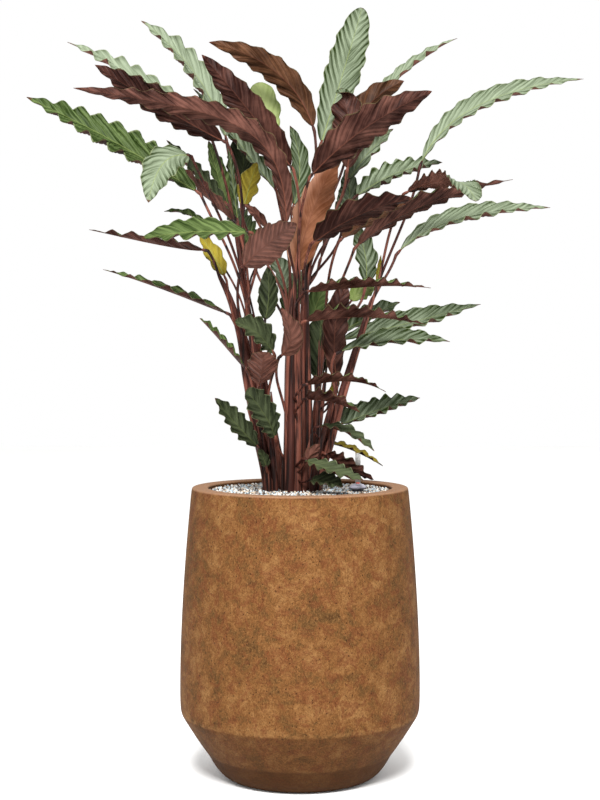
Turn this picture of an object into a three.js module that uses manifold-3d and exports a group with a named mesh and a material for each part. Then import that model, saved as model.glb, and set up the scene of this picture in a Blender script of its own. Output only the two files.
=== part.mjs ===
// A velvet calathea with waved leaves, planted in a tall mottled pot with a gravel top dressing.
// Millimetres, Z up, the front is -Y. The pot stands on z = 0 around the Z axis.
import * as THREE from "three";
import Module from "manifold-3d";

const wasm = await Module();
wasm.setup();

// Driving sizes of the pot
const POT = {
  height: 445,
  baseRadius: 108,
  footRadius: 124,
  footHeight: 8,
  shoulderRadius: 185.5,
  shoulderHeight: 100,
  rimOuterRadius: 167.5,
  rimWidth: 25.5,
  edgeRound: 3,
  lipDepth: 50,
  wall: 15,
  floor: 16,
  sides: 26,
};
const POT_INNER_RADIUS = POT.rimOuterRadius - POT.rimWidth;

// Driving sizes of what fills the pot
const FIT_GAP = 0.4;
const SOIL_TOP = 424;
const GRAVEL_TOP = 438;
const GRAVEL_RELIEF = 5;
const ROOT_DEPTH = 400;
const SHEATH_START = 448;

// Water gauge: a tube down through the soil with a small domed cap
const GAUGE = { x: 89, y: -15, tubeRadius: 9, foot: 150, capRadius: 14, capHeight: 10 };
// Plain plant label
const LABEL = { x: 93, y: 90, width: 9, thickness: 1, bottom: 412, top: 497 };

// Blade sizes
const BLADE_THICKNESS = 1.2;
const WAVE_PITCH = 30;
const WAVE_SKEW = 0.1;
const BLADE_GAP = 0.35;
const BLADE_JOIN = 4;
const KNEE_LENGTH = 9;

const COLOURS = {
  pot: [0x94683c, 0.8],
  soil: [0x3a2c22, 0.95],
  gravel: [0xc9c6c0, 0.85],
  gauge: [0x8d8c96, 0.5],
  label: [0xf2f2ee, 0.6],
  stem: [0x6b3a2f, 0.7],
  green: [0x6f9a5f, 0.5],
  pale: [0xa0bf8c, 0.5],
  dark: [0x46583a, 0.5],
  olive: [0xb3a52c, 0.55],
  purple: [0x55342f, 0.6],
  orange: [0xa5684a, 0.6],
};

// Shoots: where each stands in the gravel, then the middle line of its sheath with its radius
const SHOOTS = {
  left_shoot: [
    [-46, -8, SHEATH_START, 11], [-58, -10, 518, 12], [-77, -14, 611, 10.5],
    [-92, -18, 690, 8], [-116, -22, 757, 5], [-144, -25, 803, 2.6],
  ],
  left_inner_shoot: [
    [-30, 22, SHEATH_START, 10], [-44, 24, 519, 10], [-60, 26, 602, 9.5],
    [-74, 28, 688, 8], [-84, 28, 745, 5],
  ],
  middle_shoot: [
    [-14, -12, SHEATH_START, 17], [-14, -11, 560, 15.5], [-14, -10, 640, 14],
    [-11, -10, 715, 11], [-7, -12, 765, 6],
  ],
  middle_back_shoot: [
    [10, 20, SHEATH_START, 10], [9, 18, 583, 9], [7, 14, 688, 7.5], [8, 12, 800, 4],
  ],
  right_shoot: [
    [24, -10, SHEATH_START, 9], [41, -8, 505, 9], [62, -4, 583, 8.5],
    [80, 2, 640, 7.5], [97, 8, 692, 6], [113, 14, 740, 4],
  ],
  right_inner_shoot: [
    [14, 46, SHEATH_START, 7], [20, 48, 520, 7], [30, 48, 610, 6], [40, 44, 700, 4],
  ],
  back_shoot: [
    [-10, 52, SHEATH_START, 9], [-14, 64, 560, 8.5], [-16, 76, 660, 7], [-14, 84, 740, 4.5],
  ],
};

// Every leaf: name, shoot, height where its stalk leaves the sheath, colour, greatest width, and
// turn, the direction of its upper face in degrees (0 to the front, 90 to the sky, 180 to the back),
// or as a vector where the leaf points to the front. Then its middle line: base, middle and tip, or
// base, two bending points and tip.
const LEAVES = [
  ["front_arch", "middle_shoot", 740, "purple", 38, 146, [-20, -70, 850], [-22, -88, 1000], [-95, -112, 1012], [-335, -120, 1045]],
  ["left_long_green", "left_inner_shoot", 700, "green", 52, 42, [-160, -20, 902], [-285, -5, 982], [-425, 5, 1050]],
  ["left_high_pale", "left_inner_shoot", 730, "pale", 44, 60, [-145, 12, 995], [-250, 22, 1080], [-365, 30, 1140]],
  ["left_under_purple", "left_inner_shoot", 735, "purple", 50, 145, [-120, -20, 980], [-225, -32, 1040], [-315, -25, 1095]],
  ["top_left_pale", "back_shoot", 700, "pale", 48, 50, [-118, 60, 995], [-165, 80, 1100], [-255, 90, 1185]],
  ["dark_high_left", "middle_shoot", 745, "purple", 50, 165, [-15, -28, 940], [-82, -45, 1028], [-150, -40, 1108]],
  ["behind_arch_green", "back_shoot", 740, "pale", 40, 55, [-40, 85, 915], [-105, 125, 1005], [-175, 150, 1085]],
  ["back_left_upright", "left_inner_shoot", 690, "green", 38, 40, [-105, 72, 870], [-128, 110, 930], [-150, 150, 1000]],
  ["left_facing_heart", "left_inner_shoot", 720, "pale", 52, [0.1, -0.86, 0.5], [-170, -60, 952], [-200, -105, 955], [-214, -140, 922], [-220, -165, 872]],
  ["dark_centre_left", "back_shoot", 690, "dark", 50, 12, [-96, 130, 904], [-94, 160, 970], [-86, 190, 1045]],
  ["front_left_green", "left_shoot", 670, "green", 44, 42, [-80, -75, 835], [-155, -120, 835], [-230, -160, 820]],
  ["left_low_purple", "left_shoot", 760, "purple", 40, 97, [-150, -27, 811], [-230, -40, 825], [-320, -55, 840]],
  ["front_purple_heart", "left_shoot", 640, "purple", 52, [0.6, 0.6, 0.5], [-85, -70, 785], [-45, -140, 815], [-5, -215, 838]],
  ["left_scalloped", "left_shoot", 620, "green", 38, 84, [-115, -25, 715], [-200, -35, 750], [-300, -45, 780]],
  ["low_purple_heart", "left_shoot", 510, "purple", 44, 92, [-62, -50, 605], [-56, -105, 632], [-55, -160, 655]],
  ["base_dark_green", "middle_shoot", 462, "dark", 42, 30, [-38, -48, 525], [-52, -80, 560], [-80, -110, 598]],
  ["base_left_green", "left_shoot", 458, "dark", 34, 35, [-65, -30, 510], [-100, -50, 550], [-128, -75, 585]],
  ["base_right_green", "middle_shoot", 460, "dark", 34, 60, [10, -48, 490], [50, -90, 478], [94, -118, 465]],
  ["base_right_purple", "right_shoot", 462, "purple", 38, 122, [42, -22, 496], [76, -46, 480], [111, -72, 462]],
  ["low_right_green", "right_inner_shoot", 490, "green", 44, 60, [65, 40, 540], [125, 60, 565], [192, 80, 580]],
  ["low_right_grey", "back_shoot", 490, "dark", 36, 55, [56, 88, 540], [88, 120, 558], [118, 155, 572]],
  ["low_scallop_a", "middle_shoot", 560, "purple", 34, 102, [12, -55, 606], [75, -78, 614], [128, -98, 595]],
  ["right_mid_green", "right_shoot", 555, "green", 46, 62, [62, -40, 655], [138, -45, 675], [228, -50, 670]],
  ["right_long_grey", "right_inner_shoot", 620, "pale", 48, 54, [62, 50, 672], [162, 68, 700], [290, 88, 730]],
  ["right_grey_back", "back_shoot", 600, "pale", 38, 45, [66, 98, 685], [115, 130, 715], [165, 165, 735]],
  ["mid_scallop", "middle_shoot", 660, "purple", 46, 102, [12, -62, 702], [92, -92, 712], [188, -112, 695]],
  ["dark_upright", "right_inner_shoot", 540, "purple", 38, 178, [56, -14, 612], [54, -16, 690], [70, -12, 757]],
  ["mid_edge_leaf", "middle_shoot", 700, "purple", 40, 98, [15, -56, 747], [105, -84, 757], [195, -100, 750]],
  ["right_upright_green", "right_inner_shoot", 640, "green", 34, 15, [104, 52, 762], [104, 70, 812], [84, 90, 862]],
  ["right_low_long", "right_shoot", 715, "pale", 48, 60, [156, 22, 812], [248, 38, 866], [396, 52, 882]],
  ["right_high_long", "right_shoot", 730, "pale", 42, 48, [190, 20, 950], [280, 45, 1045], [450, 60, 1087]],
  ["right_top_pale", "back_shoot", 720, "pale", 40, 68, [100, 105, 1040], [182, 130, 1122], [258, 150, 1168]],
  ["top_broad_green", "middle_back_shoot", 760, "pale", 56, 5, [34, 40, 985], [70, 52, 1102], [98, 46, 1197]],
  ["right_front_purple", "middle_shoot", 735, "purple", 56, 158, [20, -62, 925], [96, -95, 990], [196, -108, 1042]],
  ["behind_purple", "middle_back_shoot", 750, "purple", 50, 172, [74, 8, 940], [77, 12, 1006], [63, 22, 1066]],
  ["furled_orange", "middle_shoot", 745, "orange", 56, 172, [-5, -6, 778], [18, -6, 868], [60, 0, 960]],
  ["right_back_green", "back_shoot", 730, "green", 38, 40, [78, 80, 930], [112, 108, 980], [152, 132, 1017]],
  ["back_broad_grey", "back_shoot", 700, "pale", 36, 20, [70, 100, 860], [80, 135, 915], [74, 175, 955]],
  ["right_wavy_grey", "middle_back_shoot", 740, "pale", 46, 52, [90, 34, 900], [152, 58, 940], [228, 84, 957]],
  ["twisted_right", "right_shoot", 735, "purple", 40, 122, [167, -4, 902], [204, -35, 920], [248, -84, 930], [255, -163, 874]],
  ["right_mid_purple", "middle_back_shoot", 700, "purple", 50, 140, [22, -64, 822], [88, -102, 862], [166, -120, 882]],
  ["brown_under", "right_inner_shoot", 670, "orange", 34, 130, [65, -42, 828], [112, -56, 862], [160, -60, 878]],
  ["right_long_purple", "right_inner_shoot", 660, "purple", 42, 126, [90, -10, 820], [182, -14, 880], [328, -16, 920]],
  ["orange_top_left", "middle_back_shoot", 770, "orange", 42, 155, [20, 6, 1005], [-36, 12, 1090], [-142, 14, 1137]],
  ["centre_light_green", "back_shoot", 745, "pale", 48, 8, [-48, 52, 990], [-56, 66, 1040], [-68, 78, 1084]],
  ["back_low_green", "back_shoot", 620, "green", 40, 75, [-20, 130, 706], [-10, 200, 762], [0, 300, 792]],
  ["back_left_green", "back_shoot", 670, "green", 42, 70, [-76, 130, 805], [-100, 215, 872], [-118, 315, 900]],
  ["back_right_purple", "back_shoot", 700, "purple", 40, 110, [34, 124, 806], [62, 200, 882], [88, 310, 925]],
];

// Leaves with a round tip, and leaves drawn out to a long thin one
const ROUND_TIPS = [
  "top_broad_green", "centre_light_green", "low_purple_heart", "base_dark_green", "dark_upright",
  "behind_purple", "dark_low_centre", "twisted_right",
];
const LONG_TIPS = [
  "right_long_purple", "left_low_purple", "mid_scallop", "mid_edge_leaf", "low_scallop_a", "left_scalloped",
];

// Leaves that widen slowly from their stalk
const SLIM_LEAVES = [
  "right_high_long", "right_low_long", "right_top_pale", "right_long_grey", "right_mid_green", "left_high_pale",
];

// How far the edges of a blade rise over its midrib, as a share of its half width
const FOLD = 0.42;
const FOLDS = {
  top_broad_green: 0.16, centre_light_green: 0.16, front_purple_heart: 0.12, left_facing_heart: 0.16,
  low_purple_heart: 0.16, base_dark_green: 0.25, furled_orange: 0.16, dark_upright: 0.2,
  behind_purple: 0.2, dark_low_centre: 0.2, mid_scallop: 0.56, mid_edge_leaf: 0.56,
  low_scallop_a: 0.56, low_scallop_b: 0.56, left_low_purple: 0.5, left_long_green: 0.5,
  dark_high_left: 0.25, orange_top_left: 0.25, twisted_right: 0.2,
};

// Leaves too small for a node of their own, joined to the shoot that they grow on
const SMALL_LEAVES = [
  ["base_right_yellow", "right_inner_shoot", 470, "olive", 22, 78, [48, 44, 510], [88, 58, 498], [132, 68, 472]],
  ["base_right_edge", "right_shoot", 500, "dark", 30, 70, [30, -32, 540], [70, -52, 535], [112, -70, 505]],
  ["low_purple_mid", "middle_shoot", 520, "purple", 34, [0.5, 0.7, 0.5], [-27, -62, 650], [-12, -95, 680], [-28, -130, 720]],
  ["thin_upright_green", "middle_back_shoot", 770, "green", 30, 12, [-10, 34, 885], [0, 46, 950], [-16, 54, 1012]],
  ["low_left_edge", "left_shoot", 540, "green", 32, 86, [-84, -32, 630], [-120, -60, 675], [-150, -90, 705]],
  ["left_edge_green", "left_inner_shoot", 680, "dark", 34, 60, [-118, 48, 890], [-165, 60, 940], [-212, 62, 990]],
  ["left_edge_purple", "left_inner_shoot", 670, "purple", 34, 115, [-105, 12, 860], [-150, 6, 905], [-195, 0, 945]],
  ["low_dark_left", "left_inner_shoot", 560, "dark", 44, 34, [-42, -10, 655], [-65, -45, 685], [-100, -75, 700]],
  ["low_scallop_b", "middle_shoot", 540, "purple", 42, 106, [12, -58, 584], [50, -92, 584], [88, -120, 566]],
  ["right_light_back", "back_shoot", 660, "pale", 30, 25, [82, 84, 735], [100, 98, 750], [122, 112, 757]],
  ["base_small_purple", "middle_shoot", 456, "purple", 20, 175, [8, -40, 486], [18, -50, 500], [30, -56, 515]],
  ["small_yellow", "right_inner_shoot", 540, "olive", 14, 10, [48, 40, 578], [54, 42, 596], [60, 44, 618]],
  ["base_small_green", "left_shoot", 452, "dark", 16, 10, [-52, -26, 478], [-56, -32, 492], [-64, -36, 506]],
  ["olive_small", "left_inner_shoot", 700, "olive", 34, 20, [-88, 40, 884], [-80, 46, 918], [-68, 52, 954]],
  ["yellow_left", "left_shoot", 735, "olive", 26, 20, [-117, -16, 772], [-135, -8, 806], [-156, 2, 838]],
  ["small_left", "left_inner_shoot", 690, "green", 18, 60, [-150, 30, 850], [-176, 42, 872], [-215, 52, 876]],
  ["base_right_low", "middle_shoot", 452, "dark", 30, 45, [17, -48, 460], [41, -75, 461], [64, -98, 453]],
  ["spear", "right_shoot", 730, "olive", 7, 0, [120, 24, 762], [124, 27, 785], [127, 30, 806]],
  ["olive_centre", "left_inner_shoot", 640, "dark", 32, 8, [-55, 48, 705], [-50, 60, 745], [-52, 74, 790]],
  ["pale_behind", "back_shoot", 690, "pale", 30, 20, [-26, 100, 752], [-32, 128, 790], [-56, 155, 826]],
  ["dark_low_centre", "right_inner_shoot", 560, "dark", 44, 8, [26, 60, 612], [30, 66, 655], [34, 70, 710]],
  ["green_sheath", "left_inner_shoot", 735, "pale", 10, 5, [-98, 34, 862], [-106, 36, 925], [-113, 38, 985]],
  ["behind_purple_lobe", "middle_back_shoot", 750, "purple", 44, 165, [80, 65, 996], [111, 70, 1050], [166, 75, 1086]],
  ["mid_back_leaf", "back_shoot", 620, "green", 36, 15, [22, 100, 702], [27, 104, 732], [44, 110, 758]],
  ["dark_tip_small", "left_inner_shoot", 740, "purple", 15, 170, [-52, 8, 848], [-66, -4, 866], [-86, -16, 882]],
];

const vec = (point) => new THREE.Vector3(...point);

// Repeatable random numbers
function randomFrom(seed) {
  let state = seed;
  return () => {
    state = (state * 16807) % 2147483647;
    return state / 2147483647;
  };
}

// A closed solid through rings of points, all with as many points, with a flat cap at each end
function loft(rings) {
  const n = rings[0].length;
  const positions = rings.flat().flatMap((p) => [p.x, p.y, p.z]);
  const index = [];
  for (let ring = 0; ring < rings.length - 1; ring++) {
    for (let i = 0; i < n; i++) {
      const a = ring * n + i;
      const b = ring * n + ((i + 1) % n);
      index.push(a, b, a + n, b, b + n, a + n);
    }
  }
  const last = (rings.length - 1) * n;
  for (let i = 1; i < n - 1; i++) {
    index.push(0, i + 1, i);
    index.push(last, last + i, last + i + 1);
  }
  const geometry = new THREE.BufferGeometry();
  geometry.setAttribute("position", new THREE.Float32BufferAttribute(positions, 3));
  geometry.setIndex(index);
  return geometry;
}

function toSolid(geometry) {
  return new wasm.Manifold(
    new wasm.Mesh({
      numProp: 3,
      vertProperties: Float32Array.from(geometry.attributes.position.array),
      triVerts: Uint32Array.from(geometry.index.array),
    }),
  );
}

function toGeometry(solid) {
  const mesh = solid.getMesh();
  const geometry = new THREE.BufferGeometry();
  geometry.setAttribute("position", new THREE.Float32BufferAttribute(mesh.vertProperties, 3));
  geometry.setIndex([...mesh.triVerts]);
  return geometry;
}

function material(colour) {
  const [hex, roughness] = COLOURS[colour];
  return new THREE.MeshStandardMaterial({ color: hex, roughness, metalness: 0, flatShading: true });
}

function addMesh(group, name, geometry, colour) {
  geometry.computeVertexNormals();
  const mesh = new THREE.Mesh(geometry, material(colour));
  mesh.name = name;
  group.add(mesh);
}

// An upright prism with flat ends
function prism(x, y, radius, bottom, top, sides) {
  const ring = (z) =>
    Array.from({ length: sides }, (_, i) => {
      const angle = (2 * Math.PI * i) / sides;
      return new THREE.Vector3(x + radius * Math.cos(angle), y + radius * Math.sin(angle), z);
    });
  return loft([ring(bottom), ring(top)]);
}

// The pot's wall above the shoulder leans in with a slight barrel
function wallRadius(z) {
  const rise = Math.max(0, (z - 140) / (POT.height - 140));
  return POT.shoulderRadius - (POT.shoulderRadius - POT.rimOuterRadius) * rise ** 1.75;
}

function arc(centreR, centreZ, radius, from, to, steps) {
  return Array.from({ length: steps + 1 }, (_, i) => {
    const angle = THREE.MathUtils.degToRad(from + ((to - from) * i) / steps);
    return new THREE.Vector2(centreR + radius * Math.cos(angle), centreZ + radius * Math.sin(angle));
  });
}

// A profile turned once around the Z axis
function turned(profile, sides) {
  return new THREE.LatheGeometry(profile, sides).rotateX(Math.PI / 2);
}

function pot() {
  const point = (r, z) => new THREE.Vector2(r, z);
  const { height, edgeRound, rimOuterRadius, wall } = POT;
  const profile = [
    point(0, 0),
    point(POT.baseRadius, 0),
    point(POT.baseRadius + 9, 2),
    point(POT.footRadius, POT.footHeight),
    point(POT.shoulderRadius - 5, POT.shoulderHeight - 7),
    point(POT.shoulderRadius - 1, POT.shoulderHeight + 3),
    ...[140, 230, 330].map((z) => point(wallRadius(z), z)),
    ...arc(rimOuterRadius - edgeRound, height - edgeRound, edgeRound, 0, 90, 2),
    ...arc(POT_INNER_RADIUS + edgeRound, height - edgeRound, edgeRound, 90, 180, 2),
    point(POT_INNER_RADIUS, height - POT.lipDepth),
    point(wallRadius(370) - wall, 370),
    point(wallRadius(140) - wall, 140),
    point(POT.shoulderRadius - wall, POT.shoulderHeight + 6),
    point(POT.footRadius - 6, POT.floor),
    point(0, POT.floor),
  ];
  return turned(profile, POT.sides);
}

// Radius of the pot's inside at a height, less the fitting gap
function insideRadius(z) {
  if (z >= POT.height - POT.lipDepth) return POT_INNER_RADIUS - FIT_GAP;
  return wallRadius(z) - POT.wall - FIT_GAP;
}

// Everything that stands in the fill, widened by a clearance
function holes(bottom, top, clearance) {
  const cut = Object.values(SHOOTS).map(([[x, y, , radius]]) =>
    toSolid(prism(x, y, radius + clearance, ROOT_DEPTH - clearance, top, 8)),
  );
  cut.push(toSolid(prism(GAUGE.x, GAUGE.y, GAUGE.tubeRadius + clearance, GAUGE.foot - clearance, top, 12)));
  const label = new THREE.BoxGeometry(
    LABEL.width + 2 * clearance,
    LABEL.thickness + 2 * clearance,
    top - LABEL.bottom + clearance,
  );
  label.translate(LABEL.x, LABEL.y, (top + LABEL.bottom - clearance) / 2);
  return [...cut, boxSolid(label)];
}

// The box geometry with its corners joined
function boxSolid(box) {
  const points = [];
  const lookup = new Map();
  const source = box.attributes.position;
  const index = [...box.index.array].map((i) => {
    const key = [source.getX(i), source.getY(i), source.getZ(i)].map((v) => v.toFixed(4)).join();
    if (!lookup.has(key)) {
      lookup.set(key, points.length / 3);
      points.push(source.getX(i), source.getY(i), source.getZ(i));
    }
    return lookup.get(key);
  });
  const joined = new THREE.BufferGeometry();
  joined.setAttribute("position", new THREE.Float32BufferAttribute(points, 3));
  joined.setIndex(index);
  return toSolid(joined);
}

// A disc between two heights with its own outline radius and a relief on top
function fillBody(outline, sides, relief) {
  const ring = (radius, z) =>
    Array.from({ length: sides }, (_, i) => {
      const angle = (2 * Math.PI * i) / sides;
      return new THREE.Vector3(radius * Math.cos(angle), radius * Math.sin(angle), z + relief(radius));
    });
  return loft(outline.map(([radius, z]) => ring(radius, z)));
}

function soil() {
  const top = SOIL_TOP;
  const outline = [
    [POT.footRadius - 8, POT.floor + FIT_GAP],
    [POT.shoulderRadius - POT.wall - 4, POT.shoulderHeight + 6],
    [insideRadius(140) - 2, 140],
    [insideRadius(370) - 2, 369],
    [POT_INNER_RADIUS - 1.2, POT.height - POT.lipDepth],
    [POT_INNER_RADIUS - 1.2, top],
  ];
  const body = toSolid(fillBody(outline, 18, () => 0));
  return toGeometry(holes(POT.floor, top + 30, FIT_GAP).reduce((left, hole) => left.subtract(hole), body));
}

// Gravel: a disc with a random knobbly top
function gravel() {
  const random = randomFrom(41);
  const bottom = SOIL_TOP + FIT_GAP;
  const rim = POT_INNER_RADIUS - 1.2;
  const outline = [[rim, bottom], [rim, GRAVEL_TOP - 2]];
  [0.93, 0.74, 0.5, 0.22].forEach((share) => outline.push([rim * share, GRAVEL_TOP]));
  const body = toSolid(
    fillBody(outline, 18, (radius) => (radius < rim ? GRAVEL_RELIEF * (random() - 0.4) : 0)),
  );
  return toGeometry(holes(bottom, GRAVEL_TOP + 30, FIT_GAP).reduce((left, hole) => left.subtract(hole), body));
}

function gauge() {
  const seat = GRAVEL_TOP + GRAVEL_RELIEF;
  const profile = [
    new THREE.Vector2(0, GAUGE.foot),
    new THREE.Vector2(GAUGE.tubeRadius, GAUGE.foot),
    new THREE.Vector2(GAUGE.tubeRadius, seat),
    new THREE.Vector2(GAUGE.capRadius, seat),
    new THREE.Vector2(GAUGE.capRadius, seat + 2.5),
    new THREE.Vector2(GAUGE.capRadius * 0.8, seat + GAUGE.capHeight * 0.65),
    new THREE.Vector2(GAUGE.capRadius * 0.42, seat + GAUGE.capHeight * 0.95),
    new THREE.Vector2(0, seat + GAUGE.capHeight),
  ];
  return turned(profile, 12).translate(GAUGE.x, GAUGE.y, 0);
}

function label() {
  const height = LABEL.top - LABEL.bottom;
  return new THREE.BoxGeometry(LABEL.width, LABEL.thickness, height).translate(
    LABEL.x,
    LABEL.y,
    LABEL.bottom + height / 2,
  );
}

// The middle line of a leaf: through base, middle and tip, or bent by two handles
function spineOf(points) {
  const [base, ...rest] = points.map(vec);
  if (rest.length === 3) return new THREE.CubicBezierCurve3(base, ...rest);
  const [middle, tip] = rest;
  const bend = middle.clone().multiplyScalar(2).sub(base.clone().add(tip).multiplyScalar(0.5));
  return new THREE.QuadraticBezierCurve3(base, bend, tip);
}

// Direction of the upper face: turned from the front towards the sky, across the leaf's length
function faceOf(points, turn) {
  if (Array.isArray(turn)) return vec(turn);
  const along = vec(points.at(-1)).sub(vec(points[0]));
  const flat = Math.hypot(along.x, along.z);
  const sky = new THREE.Vector3(0, 0, 1);
  if (flat > 0.5 * along.length()) {
    const side = along.x < 0 ? 1 : -1;
    sky.set(side * along.z, 0, -side * along.x).normalize();
  }
  const angle = THREE.MathUtils.degToRad(turn);
  return new THREE.Vector3(0, -1, 0).multiplyScalar(Math.cos(angle)).addScaledVector(sky, Math.sin(angle));
}

// Share of the greatest width at a share t of the length
function widthShare(t, name) {
  const slim = SLIM_LEAVES.includes(name);
  const swell = slim ? 0.95 : 0.6;
  const widest = slim ? 0.46 : ROUND_TIPS.includes(name) ? 0.56 : LONG_TIPS.includes(name) ? 0.32 : 0.42;
  const taper = (swell * (1 - widest)) / widest;
  return (t / widest) ** swell * ((1 - t) / (1 - widest)) ** taper;
}

// Height of the waved surface over the flat blade, s from -1 to 1 across. One edge rises where the
// other one falls, and both rise together on a steeply folded leaf.
function waveHeight(t, s, waves, amplitude, together) {
  const swell = Math.min(1, 4 * t, 5 * (1 - t));
  return amplitude * swell * (together ? Math.abs(s) : s) * Math.sin(2 * Math.PI * waves * (t - WAVE_SKEW * Math.abs(s)));
}

function bladeRings([name, , , , width, turn, ...points]) {
  const spine = spineOf(points);
  const face = faceOf(points, turn);
  const length = spine.getLength();
  const waves = Math.max(3, Math.round(length / WAVE_PITCH));
  const fold = FOLDS[name] ?? FOLD;
  const amplitude = Math.min(4.5, width * 0.1);
  const height = (t, s) => waveHeight(t, s, waves, amplitude, fold >= 0.5);
  const stations = [0];
  for (let i = 0; i < 2 * waves; i++) {
    const t = WAVE_SKEW + (0.25 + 0.5 * (i - 1)) / waves;
    if (t > 0.02 && t < 0.985) stations.push(t);
  }
  stations.push(1);
  return stations.map((t) => {
    const centre = spine.getPointAt(t);
    const tangent = spine.getTangentAt(t);
    const normal = face.clone().addScaledVector(tangent, -face.dot(tangent)).normalize();
    const side = new THREE.Vector3().crossVectors(tangent, normal);
    const half = Math.max(0.9, (width / 2) * widthShare(Math.min(t, 0.999), name));
    const surface = (s, lift) =>
      centre
        .clone()
        .addScaledVector(side, s * half)
        .addScaledVector(normal, fold * (Math.abs(s) - 0.4) * half + height(t, s) + lift);
    const lift = BLADE_THICKNESS / 2;
    return [
      surface(-1, lift), surface(0, lift), surface(1, lift),
      surface(1, -lift), surface(0, -lift), surface(-1, -lift),
    ];
  });
}

// A blade: three points across on each face, both faces split alike
function blade(leaf) {
  const rings = bladeRings(leaf);
  const geometry = loft(rings);
  const index = [];
  const top = [[0, 1], [1, 2]];
  const under = { 0: 5, 1: 4, 2: 3 };
  const edges = [[2, 3], [5, 0]];
  for (let ring = 0; ring < rings.length - 1; ring++) {
    const a = ring * 6;
    const b = a + 6;
    for (const [p, q] of top) {
      const towardTip = q === 1;
      if (towardTip) {
        index.push(a + p, a + q, b + p, a + q, b + q, b + p);
        index.push(a + under[q], a + under[p], b + under[p], a + under[q], b + under[p], b + under[q]);
      } else {
        index.push(a + p, a + q, b + q, a + p, b + q, b + p);
        index.push(a + under[q], a + under[p], b + under[q], a + under[p], b + under[p], b + under[q]);
      }
    }
    for (const [p, q] of edges) index.push(a + p, a + q, b + p, a + q, b + q, b + p);
  }
  const last = (rings.length - 1) * 6;
  for (const [p, q, r] of [[0, 5, 4], [0, 4, 1], [1, 4, 3], [1, 3, 2]]) {
    index.push(p, q, r);
    index.push(last + p, last + r, last + q);
  }
  geometry.setIndex(index);
  return geometry;
}

// A round tube along a line of points with a radius for each
function tube(centres, radii, sides, flute = 0) {
  const rings = centres.map((centre, i) => {
    const before = centres[Math.max(0, i - 1)];
    const after = centres[Math.min(centres.length - 1, i + 1)];
    const tangent = after.clone().sub(before).normalize();
    if (i === 0) tangent.set(0, 0, 1);
    const right = new THREE.Vector3(1, 0, 0).addScaledVector(tangent, -tangent.x).normalize();
    const ahead = new THREE.Vector3().crossVectors(tangent, right);
    return Array.from({ length: sides }, (_, k) => {
      const angle = (2 * Math.PI * k) / sides;
      const radius = radii[i] * (1 - (i > 1 && k % 2 ? flute : 0));
      return centre
        .clone()
        .addScaledVector(right, radius * Math.cos(angle))
        .addScaledVector(ahead, radius * Math.sin(angle));
    });
  });
  return loft(rings);
}

// The point of a shoot's middle line at a height
function shootAt(shoot, z) {
  const line = SHOOTS[shoot];
  let i = 0;
  while (i < line.length - 2 && line[i + 1][2] < z) i++;
  const [a, b] = [line[i], line[i + 1]];
  const share = THREE.MathUtils.clamp((z - a[2]) / (b[2] - a[2]), 0, 1);
  const point = vec(a).lerp(vec(b), share);
  const along = vec(b).sub(vec(a)).normalize();
  return { point, along };
}

// A leaf stalk: out of the sheath, up, and round a small knee into the blade
function stalk([name, shoot, height, , width, , ...points]) {
  const { point, along } = shootAt(shoot, height);
  const spine = spineOf(points);
  const tangent = spine.getTangentAt(0);
  const joined = SMALL_LEAVES.some((leaf) => leaf[0] === name);
  const end = vec(points[0]).addScaledVector(tangent, joined ? BLADE_JOIN : -BLADE_GAP);
  const knee = vec(points[0]).addScaledVector(tangent, -KNEE_LENGTH);
  const span = knee.distanceTo(point);
  const arriving = tangent.clone().multiplyScalar(0.45).add(new THREE.Vector3(0, 0, 0.55)).normalize();
  const curve = new THREE.CubicBezierCurve3(
    point,
    point.clone().addScaledVector(along, span * 0.4),
    knee.clone().addScaledVector(arriving, -span * 0.35),
    knee,
  );
  const centres = [...curve.getPoints(Math.max(3, Math.round(span / 60))), end];
  const radius = width > 30 ? 2 : 1.5;
  return tube(centres, Array(centres.length).fill(radius), 4);
}

function shoot(name) {
  const line = SHOOTS[name];
  const [x, y, , radius] = line[0];
  const centres = [[x, y, ROOT_DEPTH], ...line].map(vec);
  const body = toSolid(tube(centres, [radius, ...line.map((p) => p[3])], 8, 0.16));
  const stalks = [...LEAVES, ...SMALL_LEAVES].filter((leaf) => leaf[1] === name).map((leaf) => toSolid(stalk(leaf)));
  return stalks.reduce((joined, next) => joined.add(next), body);
}

function build() {
  const group = new THREE.Group();
  addMesh(group, "pot", pot(), "pot");
  addMesh(group, "soil", soil(), "soil");
  addMesh(group, "gravel", gravel(), "gravel");
  addMesh(group, "water_gauge", gauge(), "gauge");
  addMesh(group, "plant_label", label(), "label");
  for (const name of Object.keys(SHOOTS)) {
    const small = SMALL_LEAVES.filter((leaf) => leaf[1] === name).map((leaf) => toSolid(blade(leaf)));
    const whole = small.reduce((joined, next) => joined.add(next), shoot(name));
    addMesh(group, name, toGeometry(whole), "stem");
  }
  for (const leaf of LEAVES) addMesh(group, "leaf_" + leaf[0], blade(leaf), leaf[3]);
  return group;
}

export default build();
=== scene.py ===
# A velvet calathea with waved leaves, in a tall mottled pot with a gravel top dressing.
# Blender works in metres, Z up, and the front is -Y. The tables give sizes in millimetres.

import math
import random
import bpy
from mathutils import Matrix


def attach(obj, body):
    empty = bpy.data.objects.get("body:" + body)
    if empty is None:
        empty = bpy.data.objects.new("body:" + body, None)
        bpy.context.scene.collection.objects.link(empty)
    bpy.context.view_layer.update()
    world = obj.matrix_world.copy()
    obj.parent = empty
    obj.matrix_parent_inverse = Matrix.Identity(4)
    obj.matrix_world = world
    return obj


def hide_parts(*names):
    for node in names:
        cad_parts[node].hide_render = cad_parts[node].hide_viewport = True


bl_info = {
    "name": "Potted Velvet Calathea",
    "version": (1, 0, 0),
    "blender": (4, 5, 0),
    "location": "3D View > Sidebar > Calathea",
    "description": "Leaves, stalks, pot, gravel and a plain studio for a potted velvet calathea",
    "category": "Object",
}

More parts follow.
